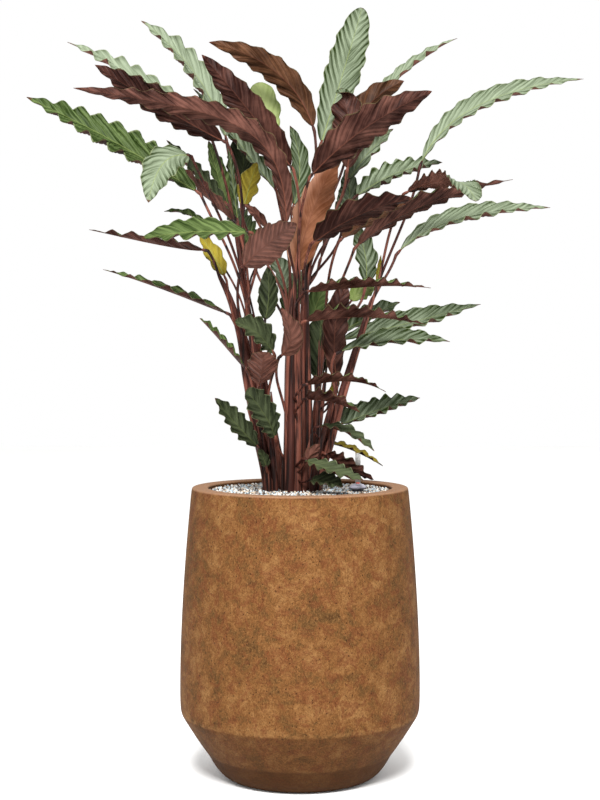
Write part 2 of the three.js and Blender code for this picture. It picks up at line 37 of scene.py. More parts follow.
import bmesh
import bpy
import numpy as np
from mathutils import Vector
from bpy.props import FloatProperty, FloatVectorProperty, IntProperty, PointerProperty

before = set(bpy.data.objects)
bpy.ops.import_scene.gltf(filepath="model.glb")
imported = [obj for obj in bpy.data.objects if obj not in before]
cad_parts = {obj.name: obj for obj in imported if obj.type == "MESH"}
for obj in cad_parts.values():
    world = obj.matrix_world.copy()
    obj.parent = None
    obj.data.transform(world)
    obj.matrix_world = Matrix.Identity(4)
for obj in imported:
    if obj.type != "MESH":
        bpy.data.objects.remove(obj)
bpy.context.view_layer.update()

MM = 0.001

# A surface's own colour as a share of the screen colour that the bright studio lights lift it to
STUDIO_LIFT = 0.33

# The camera: how far in front of the pot it stands, how high, its lens, and how far the picture is
# shifted up, as a share of its longer side
CAMERA_DISTANCE = 2556
CAMERA_HEIGHT = 671
CAMERA_LENS = 74.16
CAMERA_SHIFT = -0.07375

# Pot, fill, gauge and label sizes
POT_HEIGHT = 445
POT_BASE_RADIUS = 108
POT_FOOT_RADIUS = 124
POT_SHOULDER_RADIUS = 185.5
POT_SHOULDER_HEIGHT = 100
POT_WALL_START = 140
POT_RIM_RADIUS = 167.5
POT_MOUTH_RADIUS = 142
POT_WALL = 15
POT_FLOOR = 16
POT_LIP_DEPTH = 50
GRAVEL_BOTTOM = 424.4
GRAVEL_TOP = 438
ROOT_DEPTH = 400
SHEATH_START = 448
GAUGE_PLACE = (89, -15)
GAUGE_SEAT = 443
GAUGE_SIDES = 48
GAUGE_LOBES = 8
LABEL_PLACE = (93, 90)
LABEL_SPAN = (412, 497)

# Blade sizes
WAVE_PITCH = 30
FINE_PITCH = 19
WAVE_SKEW = 0.1
VEIN_SLOPE = 1.5
KNEE_LENGTH = 9
ROWS_A_WAVE = 10
HALF_THICKNESS = 0.42
RIB_RISE = 0.8

# Where a blade has vertices between its midrib and its edge, as shares of that half
ACROSS = (0, 0.055, 0.12, 0.25, 0.4, 0.55, 0.7, 0.83, 0.93, 1)

# Sides of the round stalks, of the core of each sheath, of the pot and of the gravel's bed
STALK_SIDES = 8
CORE_SIDES = 10
POT_SIDES = 144
BED_SIDES = 60

# Shoots: where each stands in the gravel, then the middle line of its sheath with its radius
SHOOTS = {
    "left_shoot": [
        [-46, -8, SHEATH_START, 11], [-58, -10, 518, 12], [-77, -14, 611, 10.5],
        [-92, -18, 690, 8], [-116, -22, 757, 5], [-144, -25, 803, 2.6],
    ],
    "left_inner_shoot": [
        [-30, 22, SHEATH_START, 10], [-44, 24, 519, 10], [-60, 26, 602, 9.5],
        [-74, 28, 688, 8], [-84, 28, 745, 5],
    ],
    "middle_shoot": [
        [-14, -12, SHEATH_START, 17], [-14, -11, 560, 15.5], [-14, -10, 640, 14],
        [-11, -10, 715, 11], [-7, -12, 765, 6],
    ],
    "middle_back_shoot": [
        [10, 20, SHEATH_START, 10], [9, 18, 583, 9], [7, 14, 688, 7.5], [8, 12, 800, 4],
    ],
    "right_shoot": [
        [24, -10, SHEATH_START, 9], [41, -8, 505, 9], [62, -4, 583, 8.5],
        [80, 2, 640, 7.5], [97, 8, 692, 6], [113, 14, 740, 4],
    ],
    "right_inner_shoot": [
        [14, 46, SHEATH_START, 7], [20, 48, 520, 7], [30, 48, 610, 6], [40, 44, 700, 4],
    ],
    "back_shoot": [
        [-10, 52, SHEATH_START, 9], [-14, 64, 560, 8.5], [-16, 76, 660, 7], [-14, 84, 740, 4.5],
    ],
}

# Sheaths of leaves that have gone: the shoot, and a line of points with the radius
OLD_SHEATHS = [
    ["right_shoot", [16, -18, ROOT_DEPTH, 5], [20, -18, 460, 5], [31, -17, 510, 4.6],
     [43, -16, 556, 3.4], [51, -15, 588, 0.8]],
    ["right_shoot", [28, 2, ROOT_DEPTH, 4.5], [32, 4, 460, 4.5], [42, 8, 520, 4.2],
     [52, 12, 580, 3.2], [60, 14, 626, 0.8]],
    ["right_inner_shoot", [20, 32, ROOT_DEPTH, 4.5], [22, 33, 460, 4.5], [29, 36, 520, 4.2],
     [37, 38, 590, 3.4], [44, 40, 648, 0.8]],
    ["middle_shoot", [6, -20, ROOT_DEPTH, 4.5], [8, -22, 460, 4.5], [12, -24, 496, 3.6],
     [17, -25, 530, 0.8]],
    ["middle_back_shoot", [22, 14, ROOT_DEPTH, 4.5], [23, 14, 460, 4.5], [27, 13, 540, 4],
     [29, 12, 620, 3], [30, 10, 676, 0.8]],
    ["left_shoot", [-36, -18, ROOT_DEPTH, 4.5], [-38, -20, 460, 4.5], [-46, -23, 508, 3.6],
     [-54, -25, 544, 0.8]],
    ["left_shoot", [-44, -16, ROOT_DEPTH, 4], [-48, -18, 460, 4], [-66, -22, 520, 3.6],
     [-82, -25, 572, 0.8]],
    ["left_inner_shoot", [-28, 10, ROOT_DEPTH, 4.5], [-32, 10, 470, 4.5], [-40, 11, 540, 3.6],
     [-46, 12, 600, 0.8]],
]

# The kinds of stone among the chips: where each starts on a scale from 0 to 1, and its colour
STONES = (
    (0.0, 0xBAB7B1), (0.2, 0x90A3AD), (0.42, 0x97856E), (0.56, 0xA8A49D),
    (0.66, 0x6D7E87), (0.74, 0x6E5540), (0.83, 0x463627), (0.91, 0x241B15),
)

# Every leaf: name, shoot, height where its stalk leaves the sheath, colour, greatest width, and
# turn, the direction of its upper face in degrees (0 to the front, 90 to the sky, 180 to the back),
# or as a vector where the leaf points to the front. Then its middle line: base, middle and tip, or
# base, two bending points and tip. Purple, orange and copper leaves show their underside to the front.
LEAVES = [
    ["front_arch", "middle_shoot", 740, "purple", 38, 146,
     [-20, -70, 850], [-22, -88, 1000], [-95, -112, 1012], [-335, -120, 1045]],
    ["left_long_green", "left_inner_shoot", 700, "green", 52, 42,
     [-160, -20, 902], [-285, -5, 982], [-425, 5, 1050]],
    ["left_high_pale", "left_inner_shoot", 730, "pale", 44, 60,
     [-145, 12, 995], [-250, 22, 1080], [-365, 30, 1140]],
    ["left_under_purple", "left_inner_shoot", 735, "purple", 50, 145,
     [-120, -20, 980], [-225, -32, 1040], [-315, -25, 1095]],
    ["top_left_pale", "back_shoot", 700, "pale", 48, 50,
     [-118, 60, 995], [-165, 80, 1100], [-255, 90, 1185]],
    ["dark_high_left", "middle_shoot", 745, "purple", 50, 165,
     [-15, -28, 940], [-82, -45, 1028], [-150, -40, 1108]],
    ["behind_arch_green", "back_shoot", 740, "pale", 40, 55,
     [-40, 85, 915], [-105, 125, 1005], [-175, 150, 1085]],
    ["back_left_upright", "left_inner_shoot", 690, "green", 38, 40,
     [-105, 72, 870], [-128, 110, 930], [-150, 150, 1000]],
    ["left_facing_heart", "left_inner_shoot", 720, "pale", 52, [0.1, -0.86, 0.5],
     [-170, -60, 952], [-200, -105, 955], [-214, -140, 922], [-220, -165, 872]],
    ["dark_centre_left", "back_shoot", 690, "dark", 50, 12,
     [-96, 130, 904], [-94, 160, 970], [-86, 190, 1045]],
    ["front_left_green", "left_shoot", 670, "green", 44, 42,
     [-80, -75, 835], [-155, -120, 835], [-230, -160, 820]],
    ["left_low_purple", "left_shoot", 760, "purple", 40, 97,
     [-150, -27, 811], [-230, -40, 825], [-320, -55, 840]],
    ["front_purple_heart", "left_shoot", 640, "purple", 52, [0.6, 0.6, 0.5],
     [-85, -70, 785], [-45, -140, 815], [-5, -215, 838]],
    ["left_scalloped", "left_shoot", 620, "green", 38, 84,
     [-115, -25, 715], [-200, -35, 750], [-300, -45, 780]],
    ["low_purple_heart", "left_shoot", 510, "purple", 44, 92,
     [-62, -50, 605], [-56, -105, 632], [-55, -160, 655]],
    ["base_dark_green", "middle_shoot", 462, "dark", 42, 30,
     [-38, -48, 525], [-52, -80, 560], [-80, -110, 598]],
    ["base_left_green", "left_shoot", 458, "dark", 34, 35,
     [-65, -30, 510], [-100, -50, 550], [-128, -75, 585]],
    ["base_right_green", "middle_shoot", 460, "dark", 34, 60,
     [10, -48, 490], [50, -90, 478], [94, -118, 465]],
    ["base_right_purple", "right_shoot", 462, "purple", 38, 122,
     [42, -22, 496], [76, -46, 480], [111, -72, 462]],
    ["low_right_green", "right_inner_shoot", 490, "green", 44, 60,
     [65, 40, 540], [125, 60, 565], [192, 80, 580]],
    ["low_right_grey", "back_shoot", 490, "dark", 36, 55,
     [56, 88, 540], [88, 120, 558], [118, 155, 572]],
    ["low_scallop_a", "middle_shoot", 560, "purple", 34, 102,
     [12, -55, 606], [75, -78, 614], [128, -98, 595]],
    ["right_mid_green", "right_shoot", 555, "green", 46, 62,
     [62, -40, 655], [138, -45, 675], [228, -50, 670]],
    ["right_long_grey", "right_inner_shoot", 620, "pale", 48, 54,
     [62, 50, 672], [162, 68, 700], [290, 88, 730]],
    ["right_grey_back", "back_shoot", 600, "pale", 38, 45,
     [66, 98, 685], [115, 130, 715], [165, 165, 735]],
    ["mid_scallop", "middle_shoot", 660, "purple", 46, 102,
     [12, -62, 702], [92, -92, 712], [188, -112, 695]],
    ["dark_upright", "right_inner_shoot", 540, "purple", 38, 178,
     [56, -14, 612], [54, -16, 690], [70, -12, 757]],
    ["mid_edge_leaf", "middle_shoot", 700, "purple", 40, 98,
     [15, -56, 747], [105, -84, 757], [195, -100, 750]],
    ["right_upright_green", "right_inner_shoot", 640, "green", 34, 15,
     [104, 52, 762], [104, 70, 812], [84, 90, 862]],
    ["right_low_long", "right_shoot", 715, "pale", 48, 60,
     [156, 22, 812], [248, 38, 866], [396, 52, 882]],
    ["right_high_long", "right_shoot", 730, "pale", 42, 48,
     [190, 20, 950], [280, 45, 1045], [450, 60, 1087]],
    ["right_top_pale", "back_shoot", 720, "pale", 40, 68,
     [100, 105, 1040], [182, 130, 1122], [258, 150, 1168]],
    ["top_broad_green", "middle_back_shoot", 760, "pale", 56, 5,
     [34, 40, 985], [70, 52, 1102], [98, 46, 1197]],
    ["right_front_purple", "middle_shoot", 735, "purple", 56, 158,
     [20, -62, 925], [96, -95, 990], [196, -108, 1042]],
    ["behind_purple", "middle_back_shoot", 750, "purple", 50, 172,
     [74, 8, 940], [77, 12, 1006], [63, 22, 1066]],
    ["furled_orange", "middle_shoot", 745, "copper", 56, 172,
     [-5, -6, 778], [18, -6, 868], [60, 0, 960]],
    ["right_back_green", "back_shoot", 730, "green", 38, 40,
     [78, 80, 930], [112, 108, 980], [152, 132, 1017]],
    ["back_broad_grey", "back_shoot", 700, "pale", 36, 20,
     [70, 100, 860], [80, 135, 915], [74, 175, 955]],
    ["right_wavy_grey", "middle_back_shoot", 740, "pale", 46, 52,
     [90, 34, 900], [152, 58, 940], [228, 84, 957]],
    ["twisted_right", "right_shoot", 735, "purple", 40, 122,
     [167, -4, 902], [204, -35, 920], [248, -84, 930], [255, -163, 874]],
    ["right_mid_purple", "middle_back_shoot", 700, "purple", 50, 140,
     [22, -64, 822], [88, -102, 862], [166, -120, 882]],
    ["brown_under", "right_inner_shoot", 670, "orange", 34, 130,
     [65, -42, 828], [112, -56, 862], [160, -60, 878]],
    ["right_long_purple", "right_inner_shoot", 660, "purple", 42, 126,
     [90, -10, 820], [182, -14, 880], [328, -16, 920]],
    ["orange_top_left", "middle_back_shoot", 770, "orange", 42, 155,
     [20, 6, 1005], [-36, 12, 1090], [-142, 14, 1137]],
    ["centre_light_green", "back_shoot", 745, "lime", 48, 8,
     [-48, 52, 990], [-56, 66, 1040], [-68, 78, 1084]],
    ["back_low_green", "back_shoot", 620, "green", 40, 75,
     [-20, 130, 706], [-10, 200, 762], [0, 300, 792]],
    ["back_left_green", "back_shoot", 670, "green", 42, 70,
     [-76, 130, 805], [-100, 215, 872], [-118, 315, 900]],
    ["back_right_purple", "back_shoot", 700, "purple", 40, 110,
     [34, 124, 806], [62, 200, 882], [88, 310, 925]],
]

# Leaves too small for a solid of their own, joined to the shoot that they grow on
SMALL_LEAVES = [
    ["base_right_yellow", "right_inner_shoot", 470, "olive", 22, 78,
     [48, 44, 510], [88, 58, 498], [132, 68, 472]],
    ["base_right_edge", "right_shoot", 500, "dark", 30, 70,
     [30, -32, 540], [70, -52, 535], [112, -70, 505]],
    ["low_purple_mid", "middle_shoot", 520, "purple", 34, [0.5, 0.7, 0.5],
     [-27, -62, 650], [-12, -95, 680], [-28, -130, 720]],
    ["thin_upright_green", "middle_back_shoot", 770, "green", 30, 12,
     [-10, 34, 885], [0, 46, 950], [-16, 54, 1012]],
    ["low_left_edge", "left_shoot", 540, "green", 32, 86,
     [-84, -32, 630], [-120, -60, 675], [-150, -90, 705]],
    ["left_edge_green", "left_inner_shoot", 680, "dark", 34, 60,
     [-118, 48, 890], [-165, 60, 940], [-212, 62, 990]],
    ["left_edge_purple", "left_inner_shoot", 670, "purple", 34, 115,
     [-105, 12, 860], [-150, 6, 905], [-195, 0, 945]],
    ["low_dark_left", "left_inner_shoot", 560, "dark", 44, 34,
     [-42, -10, 655], [-65, -45, 685], [-100, -75, 700]],
    ["low_scallop_b", "middle_shoot", 540, "purple", 42, 106,
     [12, -58, 584], [50, -92, 584], [88, -120, 566]],
    ["right_light_back", "back_shoot", 660, "lime", 30, 25,
     [82, 84, 735], [100, 98, 750], [122, 112, 757]],
    ["base_small_purple", "middle_shoot", 456, "purple", 20, 175,
     [8, -40, 486], [18, -50, 500], [30, -56, 515]],
    ["small_yellow", "right_inner_shoot", 540, "olive", 14, 10,
     [48, 40, 578], [54, 42, 596], [60, 44, 618]],
    ["base_small_green", "left_shoot", 452, "dark", 16, 10,
     [-52, -26, 478], [-56, -32, 492], [-64, -36, 506]],
    ["olive_small", "left_inner_shoot", 700, "olive", 34, 20,
     [-88, 40, 884], [-80, 46, 918], [-68, 52, 954]],
    ["yellow_left", "left_shoot", 735, "olive", 26, 20,
     [-117, -16, 772], [-135, -8, 806], [-156, 2, 838]],
    ["small_left", "left_inner_shoot", 690, "green", 18, 60,
     [-150, 30, 850], [-176, 42, 872], [-215, 52, 876]],
    ["base_right_low", "middle_shoot", 452, "dark", 30, 45,
     [17, -48, 460], [41, -75, 461], [64, -98, 453]],
    ["spear", "right_shoot", 730, "olive", 7, 0,
     [120, 24, 762], [124, 27, 785], [127, 30, 806]],
    ["olive_centre", "left_inner_shoot", 640, "dark", 32, 8,
     [-55, 48, 705], [-50, 60, 745], [-52, 74, 790]],
    ["pale_behind", "back_shoot", 690, "pale", 30, 20,
     [-26, 100, 752], [-32, 128, 790], [-56, 155, 826]],
    ["dark_low_centre", "right_inner_shoot", 560, "dark", 44, 8,
     [26, 60, 612], [30, 66, 655], [34, 70, 710]],
    ["green_sheath", "left_inner_shoot", 735, "pale", 10, 5,
     [-98, 34, 862], [-106, 36, 925], [-113, 38, 985]],
    ["behind_purple_lobe", "middle_back_shoot", 750, "orange", 44, 165,
     [80, 65, 996], [111, 70, 1050], [166, 75, 1086]],
    ["mid_back_leaf", "back_shoot", 620, "green", 36, 15,
     [22, 100, 702], [27, 104, 732], [44, 110, 758]],
    ["dark_tip_small", "left_inner_shoot", 740, "purple", 15, 170,
     [-52, 8, 848], [-66, -4, 866], [-86, -16, 882]],
]

# Leaves with a round tip, and leaves drawn out to a long thin one
ROUND_TIPS = (
    "top_broad_green", "centre_light_green", "low_purple_heart", "base_dark_green", "dark_upright",
    "behind_purple", "dark_low_centre", "twisted_right",
)
LONG_TIPS = (
    "right_long_purple", "left_low_purple", "mid_scallop", "mid_edge_leaf", "low_scallop_a",
    "left_scalloped",
)

# Leaves that widen slowly from their stalk
SLIM_LEAVES = (
    "right_high_long", "right_low_long", "right_top_pale", "right_long_grey", "right_mid_green",
    "left_high_pale",
)

# How far the edges of a blade rise over its midrib, as a share of its half width
FOLD = 0.42
FOLDS = {
    "top_broad_green": 0.16, "centre_light_green": 0.16, "front_purple_heart": 0.12,
    "left_facing_heart": 0.16, "low_purple_heart": 0.16, "base_dark_green": 0.25, "furled_orange": 0.16,
    "dark_upright": 0.2, "behind_purple": 0.2, "dark_low_centre": 0.2, "mid_scallop": 0.56,
    "mid_edge_leaf": 0.56, "low_scallop_a": 0.56, "low_scallop_b": 0.56, "left_low_purple": 0.5,
    "left_long_green": 0.5, "dark_high_left": 0.25, "orange_top_left": 0.25, "twisted_right": 0.2,
}

# Leaves that lie nearly flat, with a shallow wave
CALM_LEAVES = (
    "top_broad_green", "centre_light_green", "left_facing_heart", "front_purple_heart", "furled_orange",
    "dark_high_left", "orange_top_left", "low_purple_heart",
)

# Leaves with short waves, besides the dark and the steeply folded ones
FINE_WAVES = (
    "right_wavy_grey", "twisted_right", "base_right_purple", "base_right_yellow", "low_left_edge",
    "low_right_green",
)

# Leaves whose upper edge is nearly straight, and leaves with higher waves
QUIET_EDGES = (
    "right_high_long", "right_low_long", "right_top_pale", "right_back_green", "front_left_green",
    "right_long_grey", "right_mid_green",
)
BOLD_WAVES = {
    "left_long_green": 1.4, "left_high_pale": 1.25, "top_left_pale": 1.2, "front_left_green": 1.2,
    "dark_high_left": 1.3, "orange_top_left": 1.4,
}

# Leaves that twist over on their way to the tip: by how many degrees, from which share of the length,
# and over how much of it
TWISTS = {
    "twisted_right": (-100, 0.45, 0.3), "behind_purple": (-150, 0.84, 0.12),
}

# Colours of leaves that turn their underside to the front
UNDER_KINDS = ("purple", "orange", "copper")

# How light each leaf is, from 0 to 1, where it differs from the middle of its kind. A light one has
# softer painted shade between the veins above, and clearer veins below.
TONES = {
    "front_arch": 0.4, "left_under_purple": 0.25, "dark_high_left": 0.3, "left_facing_heart": 0.58,
    "centre_light_green": 0.85, "thin_upright_green": 0.3, "right_front_purple": 0.35,
    "right_mid_purple": 0.25, "behind_purple": 0.4, "behind_purple_lobe": 0.3, "green_sheath": 0.3,
    "front_purple_heart": 0.57, "low_purple_heart": 0.65, "low_purple_mid": 0.62,
    "top_broad_green": 0.45, "right_high_long": 0.66, "right_low_long": 0.65, "right_mid_green": 0.36,
    "right_long_grey": 0.38, "right_upright_green": 0.42, "right_grey_back": 0.3,
    "low_right_green": 0.42, "dark_upright": 0.3, "left_long_green": 0.33, "left_high_pale": 0.72,
    "top_left_pale": 0.66, "right_top_pale": 0.6, "left_low_purple": 0.4, "mid_scallop": 0.45,
    "low_scallop_a": 0.5, "mid_edge_leaf": 0.5, "dark_centre_left": 0.35, "orange_top_left": 0.3,
    "low_scallop_b": 0.4, "right_long_purple": 0.45, "dark_low_centre": 0.3, "twisted_right": 0.6,
    "olive_centre": 0.4,
}

# The finishes of the upper face and the underside, each with how strong the painted shade is in the folds
# between its side veins
UPPER_FOLD_SHADE = {"green": 0.65, "pale": 1.0, "lime": 0.6, "dark": 0.62, "olive": 0.4}
UNDER_FOLD_SHADE = {"purple": 0.42, "brown": 0.2, "copper": 0.1}

# The relief of the veins, on the upper face and on each underside
UPPER_RELIEF = 0.85
UNDER_RELIEF = {"purple": 0.9, "brown": 0.5, "copper": 0.25}

# The underside of the leaves that aren't purple below, and upper faces that differ from the leaf's kind
UNDER_OF = {"orange": "brown", "copper": "copper"}
UPPER_OF = {
    "twisted_right": "pale", "behind_purple": "pale", "right_back_green": "pale",
    "low_right_green": "pale", "right_mid_green": "pale", "right_upright_green": "pale",
    "thin_upright_green": "pale",
}
SLOT_OF = {
    "green": "leaf_green", "pale": "leaf_pale", "lime": "leaf_pale", "dark": "leaf_dark",
    "olive": "leaf_green", "purple": "leaf_purple", "orange": "leaf_copper", "copper": "leaf_copper",
}


def linear(hexadecimal):
    """A screen colour as the light values that Blender works with."""
    parts = [(hexadecimal >> shift & 255) / 255 for shift in (16, 8, 0)]
    return tuple(c / 12.92 if c <= 0.04045 else ((c + 0.055) / 1.055) ** 2.4 for c in parts)


def surface(hexadecimal):
    """A surface's own colour, which the bright studio lights lift to the screen colour."""
    return tuple(STUDIO_LIFT * c for c in linear(hexadecimal))


def colour(name, text, hexadecimal):
    """A colour that a user can change, given as the screen colour that it is to have."""
    return FloatVectorProperty(
        name=name, description=text, subtype="COLOR", size=3, min=0, max=1, default=surface(hexadecimal)
    )


def length(name, text, millimetres):
    """A length that a user can change."""
    return FloatProperty(
        name=name, description=text, unit="LENGTH", min=0, default=millimetres * MM, precision=4
    )


class PotSettings(bpy.types.PropertyGroup):
    body: colour("Body", "Middle brown of the mottled body", 0x9A6637)
    light: colour("Light patches", "Golden patches", 0xBD8A54)
    dark: colour("Dark patches", "Deep brown patches", 0x4E2D12)
    red: colour("Red patches", "Reddish brown patches", 0x8A4C2C)
    olive: colour("Olive patches", "Olive brown patches", 0x7C5830)
    rim: colour("Rim", "Smoother, pinker top of the rim", 0xD2A17C)
    patch: length("Patch size", "Width of a usual patch", 22)
    grain: length("Grain size", "Width of the fine grain", 2.2)
    pit: length("Pit spacing", "Distance from one pit or speck to the next", 4.8)


class LeafSettings(bpy.types.PropertyGroup):
    green_light: colour("Green, light", "Light parts of a green upper face", 0x93AB68)
    green_deep: colour("Green, deep", "Deep parts of a green upper face", 0x263C08)
    pale_light: colour("Pale, light", "Light parts of a pale upper face", 0xB9C8A8)
    pale_deep: colour("Pale, deep", "Deep parts of a pale upper face", 0x2E400A)
    dark_light: colour("Dark, light", "Light parts of a dark upper face", 0x74805A)
    dark_deep: colour("Dark, deep", "Deep parts of a dark upper face", 0x1A2210)
    lime_light: colour("Lime, light", "Light parts of a young leaf's upper face", 0xC6D58C)
    lime_deep: colour("Lime, deep", "Deep parts of a young leaf's upper face", 0x6F8A30)
    olive_light: colour("Olive, light", "Light parts of a yellowing face", 0xC6B340)
    olive_deep: colour("Olive, deep", "Deep parts of a yellowing face", 0x85722A)
    purple_light: colour("Underside, light", "Light parts of a purple underside", 0xAC7464)
    purple_deep: colour("Underside, deep", "Deep parts of a purple underside", 0x30150F)
    brown_light: colour("Brown, light", "Light parts of a brown underside", 0xA87452)
    brown_deep: colour("Brown, deep", "Deep parts of a brown underside", 0x412615)
    copper_light: colour("Copper, light", "Light parts of the furled leaf's underside", 0xD08E6C)
    copper_deep: colour("Copper, deep", "Deep parts of the furled leaf's underside", 0x7C4628)
    copper_blush: colour("Copper, blush", "Pink half of the furled leaf's underside", 0xDCA487)
    midrib_upper: colour("Midrib above", "Midrib on the upper face", 0xA9B86A)
    midrib_dark: colour("Midrib above, dark", "Midrib on a dark upper face", 0x76824C)
    midrib_under: colour("Midrib below", "Midrib on the underside", 0x8C5442)
    rim_upper: colour("Rim above", "Thin rim of the upper face", 0xB4BC8C)
    rim_under: colour("Rim below", "Thin rim of the underside", 0x77704A)
    tip: colour("Dry tip", "Brown of a tip that has dried", 0x6A3C2C)
    vein_pitch: length("Vein pitch", "Distance from one side vein to the next", 15)
    ripple: length("Ripple", "Height of the small uneven waves between the large ones", 0.7)


class StalkSettings(bpy.types.PropertyGroup):
    light: colour("Light", "Lit streaks on a stalk", 0x9C5C4A)
    body: colour("Body", "Middle red-brown of a stalk", 0x582A20)
    dark: colour("Dark", "Dark streaks and the foot of the clump", 0x160906)
    radius: length("Radius", "Radius of a stalk under a large leaf", 2.1)
    hair: length("Hair", "Length of the hairs on the stalks", 2.6)
    hairiness: FloatProperty(
        name="Hairiness", description="Hairs in a square metre of skin", default=9000, min=0
    )
    hair_seed: IntProperty(name="Hair seed", description="Changes where the hairs stand", default=5, min=0)


class GravelSettings(bpy.types.PropertyGroup):
    gap: colour("Gaps", "Dark bed between the chips", 0x3A2A20)
    spacing: length("Spacing", "Least distance from one chip to the next", 4.3)
    smallest: length("Smallest chip", "Width of the smallest chip", 3.8)
    largest: length("Largest chip", "Width of the largest chip", 7)
    seed: IntProperty(name="Seed", description="Changes how the chips lie", default=11, min=0)


class StageSettings(bpy.types.PropertyGroup):
    backdrop: FloatProperty(
        name="Backdrop", description="Brightness of the white surround", default=1.0, min=0
    )
    key: FloatProperty(
        name="Front light", description="Power of the large front light, in watts", default=280, min=0
    )
    fill: FloatProperty(
        name="Side light", description="Power of each side light, in watts", default=4, min=0
    )


class Number:
    """A number that varies over a surface, worked on with Python's operators."""

    def __init__(self, tree, socket):
        self.tree = tree
        self.socket = socket

    def maths(self, operation, *terms):
        """A number that one operation makes of its terms."""
        node = self.tree.nodes.new("ShaderNodeMath")
        node.operation = operation
        for slot, term in zip(node.inputs, terms):
            put(self.tree, slot, term)
        return Number(self.tree, node.outputs[0])

    def __add__(self, other):
        return self.maths("ADD", self, other)

    def __sub__(self, other):
        return self.maths("SUBTRACT", self, other)

    def __rsub__(self, other):
        return self.maths("SUBTRACT", other, self)

    def __mul__(self, other):
        return self.maths("MULTIPLY", self, other)

    def __truediv__(self, other):
        return self.maths("DIVIDE", self, other)

    def __pow__(self, other):
        return self.maths("POWER", self, other)

    def __abs__(self):
        return self.maths("ABSOLUTE", self)

    __radd__ = __add__
    __rmul__ = __mul__

    def fraction(self):
        return self.maths("FRACT", self)

    def over(self, limit):
        """1 where the number is above the limit."""
        return self.maths("GREATER_THAN", self, limit)


def put(tree, slot, value):
    """Links a value to a node's input, or sets it there."""
    if isinstance(value, Number):
        tree.links.new(value.socket, slot)
    elif isinstance(value, bpy.types.NodeSocket):
        tree.links.new(value, slot)
    elif slot.type == "RGBA" and len(value) == 3:
        slot.default_value = (*value, 1)
    else:
        slot.default_value = value


class Finish:
    """A material being put together from nodes."""

    def __init__(self, name):
        self.material = bpy.data.materials.new(name)
        self.material.use_nodes = True
        self.tree = self.material.node_tree
        self.tree.nodes.clear()

    def node(self, kind, settings=None, inputs=None):
        """A node of a kind, with its settings made first and then its inputs."""
        node = self.tree.nodes.new(kind)
        for name, value in (settings or {}).items():
            setattr(node, name, value)
        for name, value in (inputs or {}).items():
            put(self.tree, next(s for s in node.inputs if s.enabled and s.name == name), value)
        return node

    def number(self, socket):
        return Number(self.tree, socket)

    def place(self):
        """Where a point lies on the object, in metres."""
        return self.node("ShaderNodeTexCoord").outputs["Object"]

    def split(self, vector):
        """The three numbers of a vector."""
        parted = self.node("ShaderNodeSeparateXYZ", None, {"Vector": vector})
        return [self.number(s) for s in parted.outputs]

    def join(self, x, y, z):
        """A vector of three numbers."""
        return self.node("ShaderNodeCombineXYZ", None, {"X": x, "Y": y, "Z": z}).outputs[0]

    def parts(self, name):
        """The three numbers of an attribute of the mesh."""
        held = self.node("ShaderNodeAttribute", {"attribute_name": name})
        return self.split(held.outputs["Vector"])

    def noise(self, vector, size, detail=2.0, roughness=0.5, distortion=0.0):
        """Clouds of a size in the vector's own unit, from 0 to 1."""
        made = self.node("ShaderNodeTexNoise", None, {
            "Vector": vector, "Scale": 1 / size, "Detail": detail, "Roughness": roughness,
            "Distortion": distortion,
        })
        return self.number(made.outputs[0])

    def cells(self, vector, size):
        """Distance from the middle of the nearest cell, and that cell's random colour."""
        made = self.node("ShaderNodeTexVoronoi", None, {"Vector": vector, "Scale": 1 / size})
        return self.number(made.outputs["Distance"]), self.split(made.outputs["Color"])

    def between(self, value, low, high):
        """0 below low, 1 above high, and a smooth step between."""
        made = self.node("ShaderNodeMapRange", {"interpolation_type": "SMOOTHSTEP", "clamp": True}, {
            "Value": value, "From Min": low, "From Max": high, "To Min": 0.0, "To Max": 1.0,
        })
        return self.number(made.outputs[0])

    def mix(self, share, first, second):
        """A share of the second colour over the first."""
        made = self.node("ShaderNodeMix", {"data_type": "RGBA"}, {"Factor": share, "A": first, "B": second})
        return next(s for s in made.outputs if s.enabled)

    def ramp(self, value, stops, way="LINEAR"):
        """The colour that a value from 0 to 1 picks between stops."""
        made = self.node("ShaderNodeValToRGB", None, {"Fac": value})
        made.color_ramp.interpolation = way
        marks = made.color_ramp.elements
        marks.remove(marks[-1])
        for i, (place, tint) in enumerate(stops):
            mark = marks[0] if i == 0 else marks.new(place)
            mark.position = place
            mark.color = (*tint, 1)
        return made.outputs[0]

    def bump(self, height, depth, strength=1.0):
        """Fine relief: a height from 0 to 1 that stands for a depth in metres."""
        made = self.node("ShaderNodeBump", None, {"Height": height, "Distance": depth, "Strength": strength})
        return made.outputs[0]

    def close(self, shade, normal=None, **rest):
        """Ends the material in its shader. The rest are the shader's other inputs, by their names."""
        shader = self.node("ShaderNodeBsdfPrincipled")
        slots = {slot.name.lower().replace(" ", "_"): slot for slot in shader.inputs}
        put(self.tree, slots["base_color"], shade)
        if normal is not None:
            put(self.tree, slots["normal"], normal)
        for name, value in rest.items():
            put(self.tree, slots[name], value)
        end = self.node("ShaderNodeOutputMaterial")
        self.tree.links.new(shader.outputs[0], end.inputs["Surface"])
        return self.material


def add_piece(name, mesh, slot, *nodes):
    """A finished piece on the plant's one body, in place of its plain solids."""
    piece = bpy.data.objects.new(name, mesh)
    bpy.context.scene.collection.objects.link(piece)
    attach(piece, "root")
    if nodes:
        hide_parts(*nodes)
    return piece


